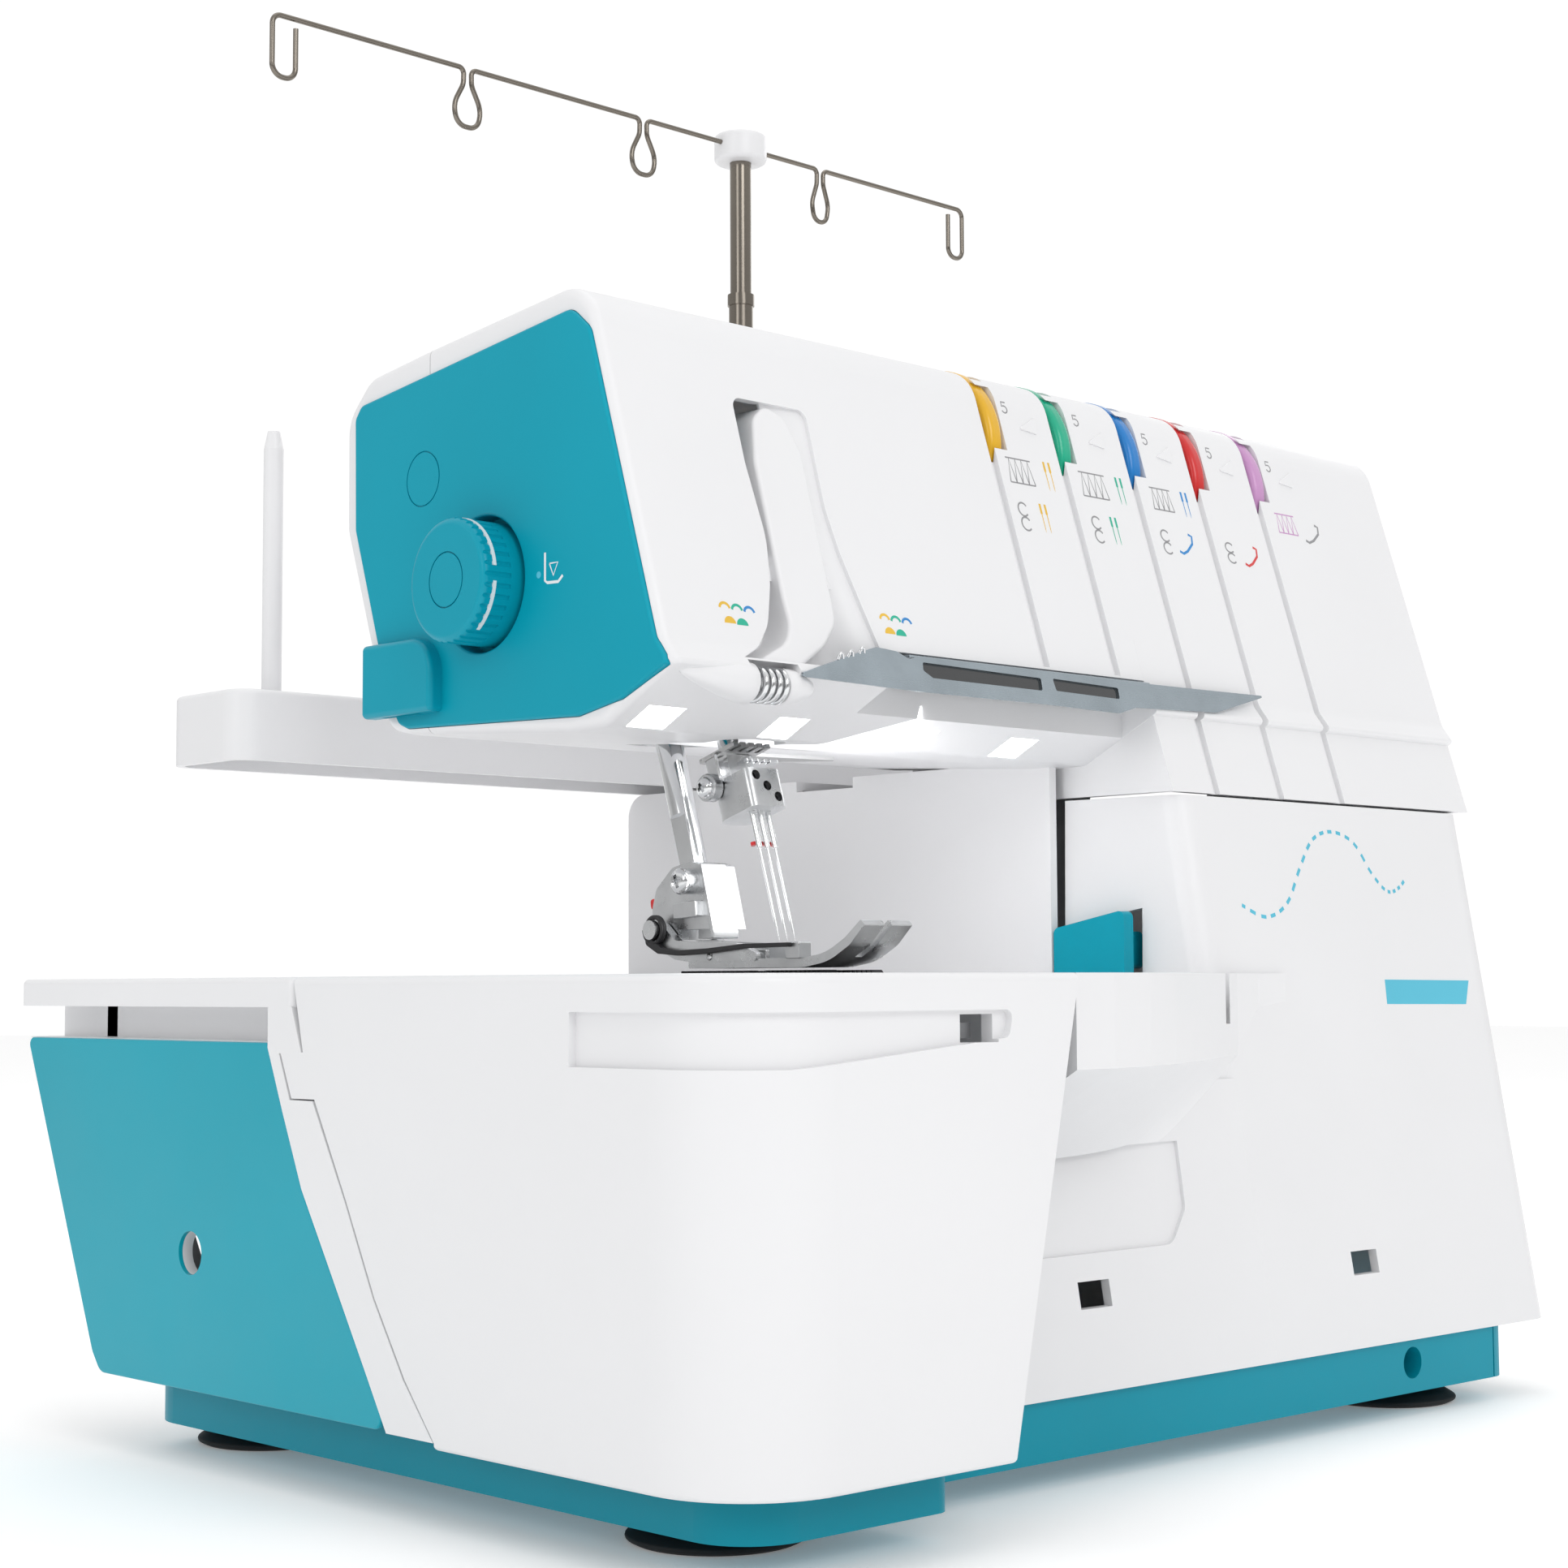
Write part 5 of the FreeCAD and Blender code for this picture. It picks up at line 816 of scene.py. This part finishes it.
g, c1, c2, c3, c4, c5 = [], [], [], [], [], []
g += net_sign(4.8, 15.4, 277.2, 269.7) + net_sign(36.7, 48.4, 277.2, 269.7) + net_sign(69.4, 79.1, 276.6, 269.7)
c1 += ndl_sign(22.6, 278.0, 269.0) + ndl_sign(16.0, 264.3, 255.6)
c2 += ndl_sign(54.9, 277.6, 269.0) + ndl_sign(47.4, 264.2, 255.6)
c3 += ndl_sign(85.8, 277.0, 268.8) + hook_sign(76.4, 84.2, 263.0, 256.4)
g += loops(7.0, 263.8, 255.1) + loops(39.2, 263.6, 255.2) + loops(71.0, 263.2, 255.4) + loops(102.5, 262.8, 256.0)
c4 += hook_sign(108.7, 116.5, 262.6, 256.0)
c5 += net_sign(132.1, 142.2, 276.1, 269.7)
g += hook_sign(145.8, 154.4, 274.4, 267.9)
up_ink("thread_signs_grey", g, INK_MID)
up_ink("thread_signs_yellow", c1, INK_Y)
up_ink("thread_signs_green", c2, INK_G)
up_ink("thread_signs_blue", c3, INK_B)
up_ink("thread_signs_red", c4, INK_R)
up_ink("thread_signs_pink", c5, INK_P)


def half_round(cx, z, r):
    return [[(cx + r * math.cos(math.radians(a)), z + r * math.sin(math.radians(a))) for a in range(180, 361, 15)]]


def arc_sign(cx, z, r):
    return stroke([(cx + r * math.cos(math.radians(a)), z + r * math.sin(math.radians(a))) for a in range(200, 341, 14)], 0.7)


for tag, xs, z0 in (("left", -118.8, 219.8), ("right", -61.6, 222.2)):
    up_ink("path_arc_yellow_" + tag, stroke([(xs + 1.7 * math.cos(math.radians(a)), z0 + 1.6 * math.sin(math.radians(a))) for a in range(10, 171, 16)], 0.7), INK_Y)
    up_ink("path_arc_green_" + tag, stroke([(xs + 4.1 + 1.7 * math.cos(math.radians(a)), z0 - 0.2 + 1.6 * math.sin(math.radians(a))) for a in range(10, 171, 16)], 0.7), INK_G)
    up_ink("path_arc_blue_" + tag, stroke([(xs + 8.2 + 1.7 * math.cos(math.radians(a)), z0 - 0.4 + 1.6 * math.sin(math.radians(a))) for a in range(10, 171, 16)], 0.7), INK_B)
    for k, (tg, mt_) in enumerate((("yellow", INK_Y), ("green", INK_G))):
        cx, cz = xs + 0.9 + 4.1 * k, z0 - 3.6 - 0.2 * k
        up_ink("path_mark_%s_%s" % (tg, tag), [[(cx + 1.9 * math.cos(math.radians(a)), cz + 1.8 * math.sin(math.radians(a))) for a in range(0, 181, 15)]], mt_)

# ------------------------------------------------------------------ prints on the lower front and the face plate
wave = []
tp = [(66, 149.1), (76.8, 145.8), (88, 150.0), (97.0, 160.5), (106, 169.6), (116.4, 172.3), (127, 169.2), (134, 160.0), (141, 154.6), (148, 156.2), (154.1, 160.8)]
fine = []
for i in range(len(tp) - 1):
    p0, p1, p2, p3 = tp[max(i - 1, 0)], tp[i], tp[i + 1], tp[min(i + 2, len(tp) - 1)]
    for k in range(5):
        t = k / 5.0
        fine.append(tuple(0.5 * (2 * p1[c] + (p2[c] - p0[c]) * t + (2 * p0[c] - 5 * p1[c] + 4 * p2[c] - p3[c]) * t * t + (3 * p1[c] - p0[c] - 3 * p2[c] + p3[c]) * t ** 3) for c in (0, 1)))
for i in range(0, len(fine) - 2, 2):
    wave += stroke(fine[i:i + 2], 1.1)
ink_piece("stitch_wave", "lower_front_cover", wave, on_low, LWN, INK_TEAL, "root")
bar = [(131.5, 127.5), (177.4, 127.1), (173.7, 119.7), (130.6, 120.1)]
ink_piece("plain_bar", "lower_front_cover", [[(bar[0][0] + (bar[1][0] - bar[0][0]) * k / 8.0, bar[0][1] + (bar[1][1] - bar[0][1]) * k / 8.0) for k in range(9)] +
                                             [(bar[2][0] + (bar[3][0] - bar[2][0]) * k / 8.0, bar[2][1] + (bar[3][1] - bar[2][1]) * k / 8.0) for k in range(9)]], on_low, LWN, INK_TEAL, "root")
FX = -142.6
on_face = lambda y, z: (FX, y, z)


def face_ink(name, polys, mat):
    return ink_piece(name, "face_plate", polys, on_face, (-1.0, 0.0, 0.0), mat, "root")


kc = (-12.4, 231.4)
face_ink("pressure_index", [circ(-36.6, 231.0, 0.9, 14)], INK_TEAL)
ft = stroke([(-39.2, 236.4), (-39.2, 229.2), (-40.2, 228.6), (-44.6, 228.4), (-46.4, 229.8)], 0.75) + stroke([(-41.0, 233.4), (-44.4, 233.4), (-42.6, 230.2), (-41.0, 233.4)], 0.4)
face_ink("foot_sign", ft, INK_WHITE)

kr = 16.45
for k, (a0, a1) in enumerate(((100, 172), (186, 236))):
    pts = [(math.radians(a0 + (a1 - a0) * j / 18.0)) for j in range(19)]
    vs, fs = [], []
    for a in pts:
        for x, rr in ((-150.9, kr), (-149.9, kr), (-149.9, kr - 0.5), (-150.9, kr - 0.5)):
            vs.append((x, kc[0] + rr * math.cos(a), kc[1] + rr * math.sin(a)))
    for j in range(18):
        for q in range(4):
            fs.append((4 * j + q, 4 * j + (q + 1) % 4, 4 * j + 4 + (q + 1) % 4, 4 * j + 4 + q))
    fs += [(0, 1, 2, 3), (72, 75, 74, 73)]
    make("knob_scale_%d" % (k + 1), vs, fs, INK_WHITE, "pressure_knob", smooth=60)

# ------------------------------------------------------------------ needle clamp
DROP = 6.2
NN = -11.29
nb_xf = lambda x, n, t: tl(x, n, t, DROP)
boss = lathe("clamp_boss", (-6.4, NN + 0.2, -15.0), (-10.0, NN + 0.2, -15.0), [(0.0, 0.0), (0.0, 3.5), (0.3, 3.7), (2.9, 3.7), (3.3, 3.4), (3.3, 0.0)], ZINC, "needle_bar", xf=nb_xf)
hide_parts("needle_set_screws")
screw("clamp_screw", (-9.6, NN + 0.2, -15.0), (-1, 0, 0), 2.9, CHROME, "needle_bar", h=1.7, xf=nb_xf)
for i in range(3):
    x = (-2.8, 0.0, 2.8)[i] * 1.15
    t = -21.3 + 2.9 * (2 - i)
    lathe("set_screw_%d" % (i + 1), (x, NN - 10.4, t), (x, NN - 12.0, t), [(0.0, 0.0), (0.0, 1.45), (0.72, 1.45), (0.82, 1.3), (0.82, 1.0), (0.35, 0.8), (0.35, 0.0)], DARKM, "needle_bar", n=28, xf=nb_xf)
    lathe("set_screw_seat_%d" % (i + 1), (x, NN - 10.4, t), (x, NN - 12.0, t), [(0.0, 1.5), (0.66, 1.5), (0.72, 1.62), (0.66, 1.78), (0.0, 1.78), (0.0, 1.5)], BRONZE, "needle_bar", n=28, xf=nb_xf)
    xn = (-2.8, 0.0, 2.8)[i]
    lathe("needle_mark_%d" % (i + 1), (xn, NN - 6.2, -32.2), (xn, NN - 6.2, -36.0), [(0.0, 0.0), (0.0, 0.86), (0.9, 0.86), (0.9, 0.0)], REDP, "needle_bar", n=20, xf=nb_xf)
prism("clamp_bracket", "y", [(-8.6, -15.0), (-8.6, -7.4), (-7.8, -6.7), (-1.6, -6.7), (-1.6, -9.0), (-3.4, -13.2), (-5.6, -15.0)], NN - 5.4, NN - 4.3, CHROME, "needle_bar", rad=[2.4, 0.8, 0.4, 0.4, 1.2, 1.5, 1.5], bevel=0.18, xf=nb_xf)
pts = [(-2.0, NN - 3.6), (-2.0, NN - 9.4)]
for k in range(4):
    x0 = -1.2 + 2.2 * k
    pts += [(x0, NN - 9.4), (x0 + 0.25, NN - 7.9), (x0 + 0.75, NN - 7.9), (x0 + 1.0, NN - 9.4)]
pts += [(9.2, NN - 9.4), (9.6, NN - 8.2), (5.0, NN - 3.6)]
prism("clamp_lower_guide", "z", pts, -10.6, -9.7, CHROME, "needle_bar", rad=0.15, bevel=0.08, xf=nb_xf)

# ------------------------------------------------------------------ presser foot holder and foot
screw("holder_screw", (-94.3, -36.0, 154.2), (-1, 0, 0), 3.6, CHROME, "presser_bar", h=1.9)
prism("holder_block", "x", [(-40.8, 144.9), (-31.6, 144.3), (-31.3, 148.4), (-40.4, 149.2)], -93.4, -90.8, ZINC, "presser_bar", rad=0.5, bevel=0.3)
prism("holder_web", "x", [(-44.9, 139.1), (-42.9, 148.3), (-35.8, 148.3), (-35.8, 139.1)], -88.2, -81.8, ZINC, "presser_bar", bevel=0.2)
prism("holder_red_tip", "x", [(-21.6, 146.9), (-18.0, 147.3), (-17.6, 150.0), (-21.4, 150.4)], -89.6, -84.8, REDP, "presser_bar", rad=0.9, bevel=0.3)
prism("holder_front_edge", "x", [(-40.6, 158.9), (-45.6, 140.8), (-45.6, 139.2), (-44.4, 139.2), (-39.2, 158.9)], -91.3, -82.4, ZINC, "presser_bar", rad=0.4, bevel=0.3)
coilp = []
for k in range(0, 2 * 20 + 1):
    a = 2 * math.pi * k / 20
    coilp.append((-94.2 - 1.5 * k / 40.0, -26.0 + 3.5 * math.cos(a), 141.5 + 3.5 * math.sin(a)))
wire("foot_spring", coilp, 0.6, BLACKP, "presser_foot", res=3)
prism("foot_lever", "x", [(-22.6, 141.0), (-23.2, 137.6), (-28.0, 135.2), (-36.0, 134.6), (-48.0, 135.0), (-62.0, 136.2), (-78.5, 136.4), (-78.5, 137.5), (-61.5, 137.4), (-48.0, 136.4), (-36.0, 136.0), (-29.5, 136.8), (-26.2, 138.8)],
      -95.9, -94.2, BLACKP, "presser_foot", rad=[0.4, 1.5, 2, 4, 6, 4, 0.3, 0.3, 4, 6, 4, 2, 0.6], bevel=0.2)
prism("foot_lever_block", "x", [(-76.2, 133.4), (-81.2, 133.4), (-81.2, 137.6), (-76.2, 137.6)], -94.4, -90.0, ZINC, "presser_foot", rad=0.4, bevel=0.25)
prism("foot_rib_left", "x", [(-46.0, 133.4), (-66.0, 133.4), (-66.0, 135.8), (-60.0, 136.2), (-46.0, 135.4)], -91.6, -90.2, ZINC, "presser_foot", rad=0.4, bevel=0.2)
screw("foot_screw", (-94.0, -47.0, 134.2), (-1, 0, 0), 1.0, CHROME, "presser_foot", h=0.6, slot_only=True)

prism("grip_back_wall", "x", [(120.0, 112.7), (151.6, 112.7), (151.6, 122.0), (120.0, 122.0)], -172.4, -169.8, WHITE, "left_cover", bevel=0.2)
